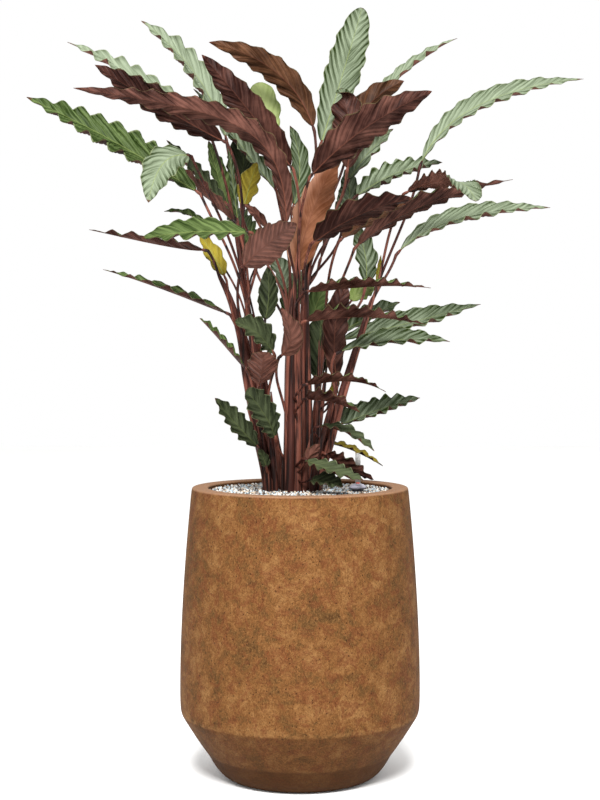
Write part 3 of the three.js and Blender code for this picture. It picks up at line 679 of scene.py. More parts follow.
def make_mesh(name, vertices, faces, materials=(), kinds=None, attributes=None, sharp=None):
    """A smooth mesh in metres from vertices in millimetres. Kinds gives each face's material, and edges
    between vertices with the same mark in sharp stay sharp, unless it is 0."""
    mesh = bpy.data.meshes.new(name)
    mesh.from_pydata((np.asarray(vertices, float) * MM).tolist(), [], faces)
    for material in materials:
        mesh.materials.append(material)
    if kinds is not None:
        mesh.polygons.foreach_set("material_index", np.asarray(kinds, np.int32))
    mesh.polygons.foreach_set("use_smooth", np.full(len(mesh.polygons), True))
    for key, values in (attributes or {}).items():
        held = mesh.attributes.new(key, "FLOAT_VECTOR", "POINT")
        held.data.foreach_set("vector", np.asarray(values, np.float32).ravel())
    if sharp is not None:
        ends = np.zeros(len(mesh.edges) * 2, np.int32)
        mesh.edges.foreach_get("vertices", ends)
        mark = np.asarray(sharp)[ends].reshape(-1, 2)
        held = mesh.attributes.new("sharp_edge", "BOOLEAN", "EDGE")
        held.data.foreach_set("value", (mark[:, 0] > 0) & (mark[:, 0] == mark[:, 1]))
    mesh.update()
    return mesh


def unit(rows):
    """Directions of length 1."""
    return rows / np.maximum(np.linalg.norm(rows, axis=-1, keepdims=True), 1e-9)


def curve_of(points):
    """Control points of a leaf's middle line: through base, middle and tip, or bent by two handles."""
    rows = [np.asarray(p, float) for p in points]
    if len(rows) == 4:
        return rows
    base, middle, tip = rows
    return [base, 2 * middle - (base + tip) / 2, tip]


def curve_at(control, shares):
    """Points and directions of a curve at parameters from 0 to 1."""
    t = np.asarray(shares, float)[:, None]
    if len(control) == 3:
        a, b, c = control
        place = a * (1 - t) ** 2 + 2 * b * t * (1 - t) + c * t**2
        ahead = 2 * (b - a) * (1 - t) + 2 * (c - b) * t
    else:
        a, b, c, d = control
        place = a * (1 - t) ** 3 + 3 * b * t * (1 - t) ** 2 + 3 * c * t**2 * (1 - t) + d * t**3
        ahead = 3 * (b - a) * (1 - t) ** 2 + 6 * (c - b) * t * (1 - t) + 3 * (d - c) * t**2
    return place, unit(ahead)


def even_along(control, shares):
    """Points and directions at shares of the curve's length, and that length."""
    fine = np.linspace(0, 1, 400)
    place, _ = curve_at(control, fine)
    run = np.concatenate([[0], np.cumsum(np.linalg.norm(np.diff(place, axis=0), axis=1))])
    place, ahead = curve_at(control, np.interp(np.asarray(shares) * run[-1], run, fine))
    return place, ahead, run[-1]


def smooth(x):
    """A smooth step from 0 to 1."""
    x = np.clip(x, 0, 1)
    return x * x * (3 - 2 * x)


def turned_face(points, turn, twist):
    """Direction of the upper face: turned from the front towards the sky, or a vector as it is given."""
    if isinstance(turn, list):
        return np.asarray(turn, float)
    along = np.asarray(points[-1], float) - np.asarray(points[0], float)
    sky = np.array([0.0, 0.0, 1.0])
    if math.hypot(along[0], along[2]) > 0.5 * np.linalg.norm(along):
        side = 1 if along[0] < 0 else -1
        sky = unit(np.array([side * along[2], 0, -side * along[0]]))
    angle = math.radians(turn + twist)
    return np.array([0.0, -1.0, 0.0]) * math.cos(angle) + sky * math.sin(angle)


def width_share(t, name):
    """Share of the greatest width at a share t of the length."""
    slim = name in SLIM_LEAVES
    swell = 0.95 if slim else 0.6
    widest = 0.42
    if slim:
        widest = 0.46
    elif name in ROUND_TIPS:
        widest = 0.56
    elif name in LONG_TIPS:
        widest = 0.32
    taper = swell * (1 - widest) / widest
    return (t / widest) ** swell * ((1 - t) / (1 - widest)) ** taper


class Gathered:
    """Vertices, faces and their values, gathered until they become one mesh."""

    def __init__(self, *attributes):
        self.vertices, self.faces, self.kinds, self.sharp = [], [], [], []
        self.values = {name: [] for name in attributes}
        self.count = 0

    def add(self, vertices, faces, kind, values, sharp=None):
        """Faces index the new vertices. Kind is one material for all, or one for each face."""
        vertices = np.asarray(vertices, float).reshape(-1, 3)
        self.vertices.append(vertices)
        self.faces.extend(tuple(int(i) + self.count for i in face) for face in faces)
        self.kinds.extend([kind] * len(faces) if isinstance(kind, int) else kind)
        marks = np.zeros(len(vertices), int) if sharp is None else np.asarray(sharp)
        self.sharp.append(np.where(marks > 0, marks + 10 * self.count, 0))
        for name, held in self.values.items():
            rows = values.get(name)
            held.append(np.zeros((len(vertices), 3)) if rows is None else np.asarray(rows).reshape(-1, 3))
        self.count += len(vertices)

    def mesh(self, name, materials):
        """All that was gathered, as one mesh."""
        values = {key: np.concatenate(rows) for key, rows in self.values.items()}
        return make_mesh(
            name, np.concatenate(self.vertices), self.faces, materials, self.kinds, values,
            np.concatenate(self.sharp),
        )


def grid_faces(rows, columns, ring=False):
    """Four-sided faces over a grid of vertices, row after row. A ring's last column joins its first."""
    faces = []
    for i in range(rows - 1):
        for j in range(columns if ring else columns - 1):
            a = i * columns + j
            b = i * columns + (j + 1) % columns
            faces.append((a, b, b + columns, a + columns))
    return faces


def waved(phase):
    """A wave from -1 to 1 with pointed crests and round hollows."""
    return 0.5 * np.sin(phase) + 0.5 * (1 - 2 * np.abs(np.sin((phase - np.pi / 2) / 2)))


def three_sided(faces):
    """Each four-sided face split into two."""
    return [part for a, b, c, d in faces for part in ((a, b, c), (a, c, d))]


def rim_faces(rows, columns):
    """Four-sided faces round the rim between two equal grids, the second one's vertices last."""
    count = rows * columns
    faces = []
    for i in range(rows - 1):
        left, right = i * columns, i * columns + columns - 1
        faces.append((left, left + columns, left + columns + count, left + count))
        faces.append((right, right + count, right + columns + count, right + columns))
    for j in range(columns - 1):
        last = (rows - 1) * columns + j
        faces.append((j, j + count, j + 1 + count, j + 1))
        faces.append((last, last + 1, last + 1 + count, last + count))
    return faces


class Blade:
    """A leaf's blade on a grid: rows follow the midrib, and columns go from edge to edge."""

    def __init__(self, leaf):
        self.name, _, _, self.kind, self.width, turn, *points = leaf
        self.chance = random.Random(self.name)
        self.tone = TONES.get(self.name, 0.5) + self.chance.uniform(-0.08, 0.08)
        self.fold = FOLDS.get(self.name, FOLD)
        control = curve_of(points)
        self.size = even_along(control, [0, 1])[2]
        fine = self.fold > 0.5 or self.kind == "dark" or self.name in FINE_WAVES
        self.waves = max(3, math.floor(self.size / (FINE_PITCH if fine else WAVE_PITCH) + 0.5))
        self.slope = VEIN_SLOPE * (1.5 if self.size > 4.4 * self.width else 1)
        even = np.linspace(0, 1, self.waves * ROWS_A_WAVE + 1)
        shares = even - 0.45 * np.sin(2 * np.pi * even) / (2 * np.pi)
        self.place, ahead, _ = even_along(control, shares)
        twist, start, span = TWISTS.get(self.name, (0, 0, 1))
        face = np.stack([turned_face(points, turn, twist * smooth((t - start) / span)) for t in shares])
        self.normal = unit(face - ahead * np.sum(ahead * face, axis=1)[:, None])
        self.side = np.cross(ahead, self.normal)
        half = self.width / 2 * width_share(np.minimum(shares, 0.999), self.name)
        self.half = np.maximum(half, np.interp(shares, [0, 0.1, 1], [1.4, 0.9, 0.25]))[:, None]
        self.t = shares[:, None]
        self.s = np.array([-s for s in ACROSS[:0:-1]] + list(ACROSS))[None, :]
        self.reach = np.abs(self.s)

    def waved_edges(self, ripple):
        """How far the waves lift each point, and how much wider they make the blade there."""
        t, s, reach, chance = self.t, self.s, self.reach, self.chance
        swell = np.minimum(1, np.minimum(4 * t, 5 * (1 - t)))
        uneven = 0.3 * np.sin(2 * np.pi * (1.7 * t + chance.random())) * np.minimum(1, 6 * t * (1 - t))
        left_side = chance.uniform(-0.5, 0.5) + (0 if self.fold >= 0.5 else np.pi)
        vein_run = (1 - reach) * self.half * self.slope / self.size
        phase = 2 * np.pi * self.waves * (t - WAVE_SKEW + vein_run) + uneven + np.where(s < 0, left_side, 0)
        strength = 0.9 + 0.24 * np.sin(2 * np.pi * (2.3 * t + chance.random()) + np.sign(s))
        shows_under = self.kind in UNDER_KINDS
        upper_edge = np.sign(s) * np.sign(self.side[:, 2].mean()) > 0
        turned_over = np.where(upper_edge & (not shows_under), -1, 1)
        rises = turned_over * waved(turned_over * phase)
        calm = 0.5 if self.name in CALM_LEAVES else 1
        quiet = np.where(upper_edge & (self.name in QUIET_EDGES), 0.45, 1) * BOLD_WAVES.get(self.name, 1)
        height = min(4.5, self.width * 0.1)
        lift = height * calm * strength * quiet * swell * reach**1.15 * rises
        shift = chance.uniform(0, 6)
        small = (1.6 - 0.6 * calm) * ripple * swell
        lift += small * reach**1.4 * np.sin(phase * 2.37 + shift + 1.3 * np.sign(s))
        drawn_in = np.where(upper_edge & shows_under, -0.9, quiet) * (0.05 + 0.05 * calm)
        sway = drawn_in * turned_over * rises + 0.022 * np.sin(phase * 2.37 + shift)
        return lift, 1 - swell * reach**2 * sway


def add_blade(gathered, leaf, upper, under, ripple):
    """One waved blade with both faces, a raised midrib below and thin edges."""
    blade = Blade(leaf)
    lift, flare = blade.waved_edges(ripple)
    t, s, half = blade.t, blade.s, blade.half
    out = s * half * flare
    bend = blade.fold * (np.sqrt(blade.reach**2 + 0.004) - 0.063 - 0.4) * half
    middle = blade.place[:, None, :] + blade.side[:, None, :] * out[..., None]
    middle = middle + blade.normal[:, None, :] * (bend + lift)[..., None]
    upward = unit(np.cross(np.gradient(middle, axis=1), np.gradient(middle, axis=0)))
    thick = HALF_THICKNESS * (1 - 0.5 * blade.reach)
    rib = np.exp(-((out / (1.25 - 0.6 * t)) ** 2)) * np.clip(1 - t, 0, 1) ** 0.6
    sheets = (
        middle + upward * (thick - 0.15 * rib)[..., None],
        middle - upward * (thick + RIB_RISE * rib)[..., None],
    )
    rows, columns = out.shape
    top = three_sided(grid_faces(rows, columns))
    below = [tuple(i + rows * columns for i in face[::-1]) for face in top]
    rim = rim_faces(rows, columns)
    edge = np.zeros((rows, columns), int)
    edge[:, [0, -1]] = 1
    edge[[0, -1], :] = 1
    run = t * blade.size - np.abs(out) * (blade.slope - VEIN_SLOPE)
    spans = np.stack([np.broadcast_to(v, out.shape) for v in (run, out, half)], -1).reshape(-1, 3)
    marks = np.stack([np.broadcast_to(v, out.shape) for v in (t, s, blade.tone)], -1).reshape(-1, 3)
    gathered.add(
        np.concatenate([sheet.reshape(-1, 3) for sheet in sheets]), top + below + rim,
        [upper] * len(top) + [under] * (len(below) + len(rim)),
        {"blade_mm": np.concatenate([spans, spans]), "blade_share": np.concatenate([marks, marks])},
        np.concatenate([edge.ravel(), edge.ravel() * 2]),
    )


def add_tube(gathered, centres, radii, sides, tone):
    """A round tube with closed ends along a line of points. It keeps how far along each point lies."""
    centres = np.asarray(centres, float)
    ahead = unit(np.gradient(centres, axis=0))
    right = np.zeros_like(centres)
    right[0] = unit(np.cross(ahead[0], [0.0, 1.0, 0.0]))
    for i in range(1, len(centres)):
        right[i] = unit(right[i - 1] - ahead[i] * (right[i - 1] @ ahead[i]))
    front = np.cross(ahead, right)
    angles = (np.arange(sides) * 2 * np.pi / sides)[None, :, None]
    ring = np.cos(angles) * right[:, None, :] + np.sin(angles) * front[:, None, :]
    shape = centres[:, None, :] + np.asarray(radii, float)[:, None, None] * ring
    rows = len(centres)
    faces = grid_faces(rows, sides, ring=True)
    faces.append(tuple(range(sides))[::-1])
    faces.append(tuple((rows - 1) * sides + k for k in range(sides)))
    run = np.concatenate([[0], np.cumsum(np.linalg.norm(np.diff(centres, axis=0), axis=1))])
    marks = np.stack([np.broadcast_to(value, (rows, sides)) for value in (run[:, None], tone, 0)], -1)
    gathered.add(shape.reshape(-1, 3), faces, 0, {"strand": marks.reshape(-1, 3)})


def sheath_at(shoot, heights):
    """Middle line and radius of a shoot's sheath at heights, on a smooth curve."""
    line = np.asarray(SHOOTS[shoot], float)
    line = np.concatenate([[[*line[0, :2], ROOT_DEPTH, line[0, 3]]], line])
    z = line[:, 2]
    rows = []
    for k in (0, 1, 3):
        slope = np.gradient(line[:, k], z)
        i = np.clip(np.searchsorted(z, heights) - 1, 0, len(z) - 2)
        span = z[i + 1] - z[i]
        p = np.clip((heights - z[i]) / span, 0, 1)
        start, end = line[i, k], line[i + 1, k]
        rows.append(
            (2 * p**3 - 3 * p**2 + 1) * start + (p**3 - 2 * p**2 + p) * span * slope[i]
            + (3 * p**2 - 2 * p**3) * end + (p**3 - p**2) * span * slope[i + 1]
        )
    return np.stack([rows[0], rows[1], heights], 1), rows[2]


def add_stalk(gathered, leaf, angle, tight, thickness, tone):
    """A leaf's stalk from the soil, up in its sheath, and round its small knee into the blade."""
    _, shoot, leaves_at, _, width, _, *points = leaf
    control = curve_of(points)
    base, tangents, _ = even_along(control, [0, 0.02])
    base, tangent = base[0], tangents[0]
    inside = np.append(np.arange(ROOT_DEPTH + 3, leaves_at, 12.0), leaves_at)
    middle, sheath = sheath_at(shoot, inside)
    top = thickness if width > 30 else thickness * 0.78
    wide = np.clip(0.5 * sheath, 3.2, 7.2)
    radii = top + (wide - top) * smooth((leaves_at - inside) / 260)
    turn = angle + (inside - ROOT_DEPTH) * 0.0012
    reach = np.maximum(sheath * tight - radii * 0.8, 0)
    middle[:, 0] += reach * np.cos(turn)
    middle[:, 1] += reach * np.sin(turn)
    start, _ = sheath_at(shoot, np.array([leaves_at]))
    before, _ = sheath_at(shoot, np.array([leaves_at - 8.0]))
    along = unit(start[0] - before[0])
    knee = base - tangent * KNEE_LENGTH
    span = np.linalg.norm(knee - start[0])
    arriving = unit(0.45 * tangent + np.array([0, 0, 0.55]))
    bend = [start[0], start[0] + along * span * 0.4, knee - arriving * span * 0.35, knee]
    steps = np.linspace(0, 1, max(8, int(span / 9)))[1:]
    free, _ = curve_at(bend, steps)
    drift = reach[-1] * (1 - smooth(steps / 0.6))
    free[:, 0] += drift * math.cos(turn[-1])
    free[:, 1] += drift * math.sin(turn[-1])
    ends = np.array([base - tangent * 4, base + tangent * 2.5])
    centres = np.concatenate([middle, free, ends])
    run = np.concatenate([[0], np.cumsum(np.linalg.norm(np.diff(centres, axis=0), axis=1))])
    to_blade = run[-1] - run
    radii = np.concatenate([radii, np.full(len(free), top), [top, top * 0.75]])
    swelling = np.exp(-(((to_blade - 9) / 6) ** 2)) * top * 0.3
    add_tube(gathered, centres, radii + swelling, STALK_SIDES, tone)


def rounding(radius, z, size, start, end, steps):
    """Points of an arc round a middle, from one angle in degrees to another."""
    angles = np.radians(np.linspace(start, end, steps))
    return [(radius + size * math.cos(a), z + size * math.sin(a)) for a in angles]


def wall_radius(z):
    """The pot's outer radius at a height above its shoulder."""
    rise = max(0, (z - POT_WALL_START) / (POT_HEIGHT - POT_WALL_START))
    return POT_SHOULDER_RADIUS - (POT_SHOULDER_RADIUS - POT_RIM_RADIUS) * rise**1.75


def foot_outline():
    """From the middle of the foot, over its rounded toe and up the slope, round the soft shoulder."""
    base, toe, knuckle = (POT_BASE_RADIUS, 0.15), (POT_BASE_RADIUS + 17, 2.8), (POT_FOOT_RADIUS + 17, 34)
    rows = [(0, 0), (40, 0), (80, 0), (POT_BASE_RADIUS - 3, 0), base]
    for share in np.linspace(0.09, 1, 12):
        weights = ((1 - share) ** 2, 2 * share * (1 - share), share**2)
        rows.append(tuple(sum(w * p[k] for w, p in zip(weights, (base, toe, knuckle))) for k in (0, 1)))
    shoulder = (POT_SHOULDER_RADIUS - 8.2, POT_SHOULDER_HEIGHT - 12)
    for share in np.linspace(0.1, 1, 9):
        rows.append((
            knuckle[0] + (shoulder[0] - knuckle[0]) * share + 0.8 * math.sin(math.pi * share),
            knuckle[1] + (shoulder[1] - knuckle[1]) * share,
        ))
    for inset, rise in ((5.6, -8), (3.5, -4.2), (2.1, -0.6), (1.2, 3.6), (0.6, 9), (0.25, 16), (0.05, 25)):
        rows.append((POT_SHOULDER_RADIUS - inset, POT_SHOULDER_HEIGHT + rise))
    return rows


def pot_profile():
    """Outer and inner outline of the pot, from the middle of the foot over the rim to the inner floor."""
    rows = foot_outline()
    rows += [(wall_radius(z), z) for z in np.linspace(POT_WALL_START, POT_HEIGHT - 7, 22)]
    rows += rounding(POT_RIM_RADIUS - 3, POT_HEIGHT - 3, 3, 0, 90, 7)
    rows += [
        (POT_RIM_RADIUS - 8, POT_HEIGHT - 0.1), (POT_MOUTH_RADIUS + 12, POT_HEIGHT - 0.2),
        (POT_MOUTH_RADIUS + 6, POT_HEIGHT - 0.1),
    ]
    rows += rounding(POT_MOUTH_RADIUS + 3, POT_HEIGHT - 3, 3, 90, 180, 7)
    rows += [(POT_MOUTH_RADIUS, POT_HEIGHT - depth) for depth in (8, 14, 22, 34, POT_LIP_DEPTH)]
    rows += [(wall_radius(z) - POT_WALL, z) for z in np.linspace(370, POT_WALL_START, 8)]
    return rows + [
        (POT_SHOULDER_RADIUS - POT_WALL, POT_SHOULDER_HEIGHT + 6), (POT_FOOT_RADIUS - 6, POT_FLOOR),
        (60, POT_FLOOR), (0, POT_FLOOR),
    ]


def turned(rows, sides, centre=(0, 0)):
    """Vertices and faces of an outline turned once round an upright axis."""
    vertices, rings = [], []
    for radius, z in rows:
        if radius <= 0:
            rings.append([len(vertices)])
            vertices.append((centre[0], centre[1], z))
            continue
        rings.append(list(range(len(vertices), len(vertices) + sides)))
        for k in range(sides):
            angle = 2 * math.pi * k / sides
            vertices.append((centre[0] + radius * math.cos(angle), centre[1] + radius * math.sin(angle), z))
    faces = []
    for low, high in zip(rings, rings[1:]):
        for k in range(sides):
            n = (k + 1) % sides
            if len(low) == 1:
                faces.append((low[0], high[n], high[k]))
            elif len(high) == 1:
                faces.append((low[k], low[n], high[0]))
            else:
                faces.append((low[k], low[n], high[n], high[k]))
    return np.array(vertices), faces


def pot_finish(look):
    """Mottled fired clay: patches, rusty grain, pits and specks and a smoother rim, with painted shade on the
    foot and inside the mouth and a painted highlight along the shoulder.
    """
    finish = Finish("mottled_clay")
    body, light, dark, rim_tint = tuple(look.body), tuple(look.light), tuple(look.dark), tuple(look.rim)
    shoulder, top, mouth = POT_SHOULDER_HEIGHT * MM, POT_HEIGHT * MM, POT_MOUTH_RADIUS * MM
    place = finish.place()
    x, y, z = finish.split(place)
    long = finish.join(x, y, z * 0.7)
    large = finish.noise(place, look.patch * 1.7, 3, 0.55, 0.5)
    middle = finish.noise(place, look.patch * 0.5, 5, 0.72, 0.8)
    warm = finish.noise(finish.join(x + 3.1, y - 1.7, z + 0.9), look.patch * 0.9, 4, 0.65, 0.8)
    grain = finish.noise(long, look.grain * 1.1, 4, 0.8)
    dust = finish.noise(long, look.grain * 0.5, 3, 0.75)
    shade = finish.ramp(large * 0.5 + middle * 0.38 + grain * 0.12, [
        (0.32, dark), (0.42, tuple(look.olive)), (0.5, body), (0.63, light),
    ])
    shade = finish.mix(finish.between(warm, 0.47, 0.62) * 0.6, shade, tuple(look.red))
    shade = finish.mix(finish.between(grain, 0.5, 0.66) * 0.5, shade, light)
    shade = finish.mix(finish.between(1 - grain, 0.5, 0.66) * 0.42, shade, dark)
    shade = finish.mix(finish.between(dust, 0.46, 0.64) * 0.6, shade, dark)
    gap, pick = finish.cells(long, look.pit)
    pits = (1 - finish.between(gap, 0.1, 0.24)) * finish.between(pick[0], 0.6, 0.64)
    specks = (1 - finish.between(gap, 0.06, 0.14)) * finish.between(pick[1], 0.9, 0.92)
    shade = finish.mix(pits * 0.75, shade, surface(0x2A190C))
    shade = finish.mix(specks * 0.8, shade, surface(0xB04A20))
    # Painted shade: the cone below the shoulder is painted darker, and more so towards the floor, for the
    # shade on its downward-facing slope.
    foot = 1 - finish.between(z, shoulder - 0.0045, shoulder)
    lower = 1 - finish.between(z, 0.0, 0.9 * shoulder)
    shade = finish.mix(foot * (0.36 + 0.16 * lower), shade, surface(0x4A2608))
    # Painted highlight: a lighter band along the rounded shoulder edge, broken up by the mid-size patches.
    painted_shoulder_highlight = finish.between(z, shoulder - 0.004, shoulder)
    painted_shoulder_highlight = painted_shoulder_highlight * (1 - finish.between(z, shoulder + 0.002, shoulder + 0.007))
    shade = finish.mix(painted_shoulder_highlight * finish.between(middle, 0.4, 0.6) * 0.4, shade, light)
    rim = finish.between(z, top - 0.0035, top - 0.0005)
    rim_shade = finish.mix(finish.between(grain, 0.35, 0.7), tuple(0.72 * c for c in rim_tint), rim_tint)
    shade = finish.mix(rim * 0.9, shade, rim_shade)
    # Painted shade: the inner wall of the mouth, below the rim, is painted towards the dark patch colour.
    inner = (1 - finish.between((x * x + y * y) ** 0.5, mouth + 0.0005, mouth + 0.004)) * (1 - rim)
    shade = finish.mix(inner * 0.6, shade, dark)
    height = grain * 0.6 + dust * 0.25 + middle * 0.4 - pits * 0.9
    normal = finish.bump(height, 0.0011, 0.6)
    return finish.close(shade, normal, roughness=0.66 + 0.2 * grain, specular_ior_level=0.06)


def leaf_finish(look, kind, above):
    """A velvet leaf face: feathered side veins with painted shade in the folds between them, a midrib, a thin
    rim and soft clouds of tone.
    """
    finish = Finish("leaf_" + kind)
    light, deep = tuple(getattr(look, kind + "_light")), tuple(getattr(look, kind + "_deep"))
    place = finish.place()
    along, across, half = finish.parts("blade_mm")
    share, side, tone = finish.parts("blade_share")
    reach = abs(across)
    edge = abs(side)
    cloud = finish.noise(place, 0.035, 3, 0.55)
    grain = finish.noise(place, 0.0016, 2, 0.6)
    warp = finish.noise(place, 0.022, 2, 0.5) + finish.noise(place, 0.055, 2, 0.5) * 1.6 - 1.3
    slant = along - reach * VEIN_SLOPE - reach * reach * 0.01 + side.over(0) * 5.3 + warp * 9
    broad = finish.noise(finish.join(along * 0.004, slant * 0.085, side * 0.7 + tone * 9), 1.0, 1, 0.5)
    fine = finish.noise(finish.join(along * 0.01, slant * 0.34, side * 0.9), 1.0, 1, 0.5)
    swing = abs((slant / (tone * 4 + (look.vein_pitch / MM - 2))).fraction() - 0.5) * 2
    crest = (1 - swing * swing) * (0.3 + 0.7 * edge)
    folds = broad * 0.5 + fine * 0.15 + grain * 0.02
    if above:
        rib, rim = look.midrib_dark if kind == "dark" else look.midrib_upper, look.rim_upper
        edging, rib_least, rib_more = 0.35, 0.52, 0.35
        soft = finish.between(tone, 0.5, 0.66)
        ridge = swing + (broad - 0.5) * 1.5 + (cloud - 0.5) * 0.8
        # Painted shade: the folds between the side veins are painted deep, and more so towards the edge, for
        # the shade that falls in them.
        painted_fold_mask = finish.between(ridge, 0.34, 0.85) * (0.12 + 0.88 * edge) * (1.15 - 0.65 * soft)
        painted_fold_shade = painted_fold_mask * UPPER_FOLD_SHADE[kind]
        # The soft clouds are the leaf's own tone. The streaks along the side veins are painted highlights on
        # the lit crests.
        level = cloud * 0.4 + broad * 0.8 + fine * 0.5
        normal = finish.bump((crest * 0.55 + folds) * (1 - 0.65 * soft), 0.0035, UPPER_RELIEF)
    else:
        rib, rim = look.midrib_under, look.rim_under
        edging, rib_least, rib_more = 0.175, 0.24, 0.63
        # Painted shade: the hollows between the side veins below are painted deep, and more so towards the
        # edge.
        painted_fold_mask = finish.between(swing + (broad - 0.5) * 0.9, 0.5, 1.0) * (0.35 + 0.65 * edge)
        painted_fold_shade = painted_fold_mask * UNDER_FOLD_SHADE[kind]
        level = cloud * 0.85 + broad * 0.25 + fine * 0.35
        normal = finish.bump(crest * 0.305 + folds, 0.0035, UNDER_RELIEF[kind])
    shade = finish.mix(finish.between(level + (tone - 0.5) * 0.9 - 0.32, 0.1, 0.84), deep, light)
    # Painted shade in the folds between the side veins.
    shade = finish.mix(painted_fold_shade, shade, deep)
    if not above:
        vein = (1 - finish.between(swing, 0.05, 0.3)) * finish.between(edge, 0.05, 0.2)
        clear = 0.08 + 0.5 * finish.between(tone, 0.5, 0.68)
        shade = finish.mix(vein * clear, shade, tuple(1.25 * c for c in light))
    shade = finish.mix(finish.between(edge, 0.72, 0.98) * edging, shade, deep)
    shade = finish.mix(finish.between(edge, 0.95, 0.985) * 0.5, shade, tuple(rim))
    midrib = 1 - finish.between(reach + share * 0.5, 0.5, 1.2)
    shade = finish.mix(midrib * (rib_least + rib_more * (1 - share) ** 2), shade, tuple(rib))
    if kind == "copper":
        shade = finish.mix(finish.between(side, 0.3, 0.95) * 0.6, shade, tuple(look.copper_blush))
    shade = finish.mix(grain * 0.08, shade, deep)
    dry = finish.between(share + cloud * 0.04, 0.975, 1.0) * (1 - finish.between(half, 2.5, 4.5))
    shade = finish.mix(dry * 0.85, shade, tuple(look.tip))
    return finish.close(shade, normal, roughness=0.4 + 0.16 * grain, specular_ior_level=0.05)


def leaf_finishes(look):
    """The five upper faces and the three undersides."""
    upper = {kind: leaf_finish(look, kind, True) for kind in UPPER_FOLD_SHADE}
    return upper | {kind: leaf_finish(look, kind, False) for kind in UNDER_FOLD_SHADE}


def faces_of(leaf):
    """The finishes of a leaf's upper face and underside."""
    name, kind = leaf[0], leaf[3]
    return UPPER_OF.get(name, kind if kind in UPPER_FOLD_SHADE else "green"), UNDER_OF.get(kind, "purple")


def stalk_finish(look):
    """Red-brown stalks with long streaks and dark seams, with painted shade at the foot of the clump."""
    finish = Finish("stalk_skin")
    body, light, dark = tuple(look.body), tuple(look.light), tuple(look.dark)
    place = finish.place()
    along, tone, _ = finish.parts("strand")
    x, y, z = finish.split(place)
    broad = finish.noise(finish.join(x * 150, y * 150, along * 0.006), 1.0, 2, 0.55)
    streak = finish.noise(finish.join(x * 520, y * 520, along * 0.012), 1.0, 3, 0.65)
    cloud = finish.noise(place, 0.06, 3, 0.5)
    level = broad * 0.7 + streak * 0.5 + (tone - 0.5) * 0.35 - 0.1
    shade = finish.mix(finish.between(level, 0.4, 0.66), body, light)
    shade = finish.mix(finish.between(1 - broad + (cloud - 0.5) * 0.5, 0.52, 0.64) * 0.85, shade, dark)
    shade = finish.mix(finish.between(1 - streak, 0.57, 0.67) * 0.6, shade, dark)
    # Painted shade: the stalks are painted darker near the gravel, where the clump's foot lies under the
    # leaves and between the stalks.
    foot = 1 - finish.between(z, 0.43, 0.56)
    shade = finish.mix(foot * 0.35, shade, dark)
    height = streak * 0.6 + broad * 0.4 + finish.noise(place, 0.0012, 2) * 0.25
    return finish.close(
        shade, finish.bump(height, 0.0012, 0.8), roughness=0.5, sheen_weight=0.02, sheen_roughness=0.4,
        sheen_tint=(*linear(0x9A6A5C), 1), specular_ior_level=0.14,
    )


_shared = {}


def shared_finish(name, make):
    """A material that several pieces share, made once."""
    if name not in _shared:
        _shared[name] = make()
    return _shared[name]


class Recipe:
    """A Geometry Nodes tree being put together, with named inputs."""

    def __init__(self, name):
        self.tree = bpy.data.node_groups.new(name, "GeometryNodeTree")
        self.tree.interface.new_socket("Geometry", in_out="INPUT", socket_type="NodeSocketGeometry")
        self.tree.interface.new_socket("Geometry", in_out="OUTPUT", socket_type="NodeSocketGeometry")
        self.entry = None

    def ask(self, name, kind):
        """Gives the tree a named input."""
        self.tree.interface.new_socket(name, in_out="INPUT", socket_type=kind)

    def given(self, name):
        """The value of a named input."""
        if self.entry is None:
            self.entry = self.tree.nodes.new("NodeGroupInput")
        return self.entry.outputs[name]

    def node(self, kind, settings=None, inputs=None):
        """A node of a kind, with its settings made first and then its inputs."""
        node = self.tree.nodes.new(kind)
        for name, value in (settings or {}).items():
            setattr(node, name, value)
        for name, value in (inputs or {}).items():
            slot = next(s for s in node.inputs if s.enabled and s.name == name)
            if isinstance(value, bpy.types.NodeSocket):
                self.tree.links.new(value, slot)
            else:
                slot.default_value = value
        return node

    def finish(self, socket):
        """Ends the tree in the geometry of a socket."""
        end = self.tree.nodes.new("NodeGroupOutput")
        self.tree.links.new(socket, end.inputs[0])
        return self.tree


def grown_mesh(base, tree, values):
    """The mesh that a tree makes on a base mesh. Values are set by each input's identifier."""
    holder = bpy.data.objects.new("holder", base)
    bpy.context.scene.collection.objects.link(holder)
    modifier = holder.modifiers.new("growth", "NODES")
    modifier.node_group = tree
    for socket in tree.interface.items_tree:
        if getattr(socket, "in_out", "") == "INPUT" and socket.name in values:
            modifier[socket.identifier] = values[socket.name]
    bpy.context.view_layer.update()
    made = bpy.data.meshes.new_from_object(holder.evaluated_get(bpy.context.evaluated_depsgraph_get()))
    holder.modifiers.remove(modifier)
    bpy.data.objects.remove(holder)
    return made


def hair_shape():
    """One hair: a thin three-sided sliver, one metre long before it is scaled."""
    mesh = bpy.data.meshes.new("hair")
    corners = [(0.05 * math.cos(a), 0.05 * math.sin(a), 0) for a in (0, 2.09, 4.19)]
    mesh.from_pydata(corners + [(0.3, 0, 0.95)], [], [(0, 1, 3), (1, 2, 3), (2, 0, 3), (2, 1, 0)])
    return bpy.data.objects.new("hair", mesh)


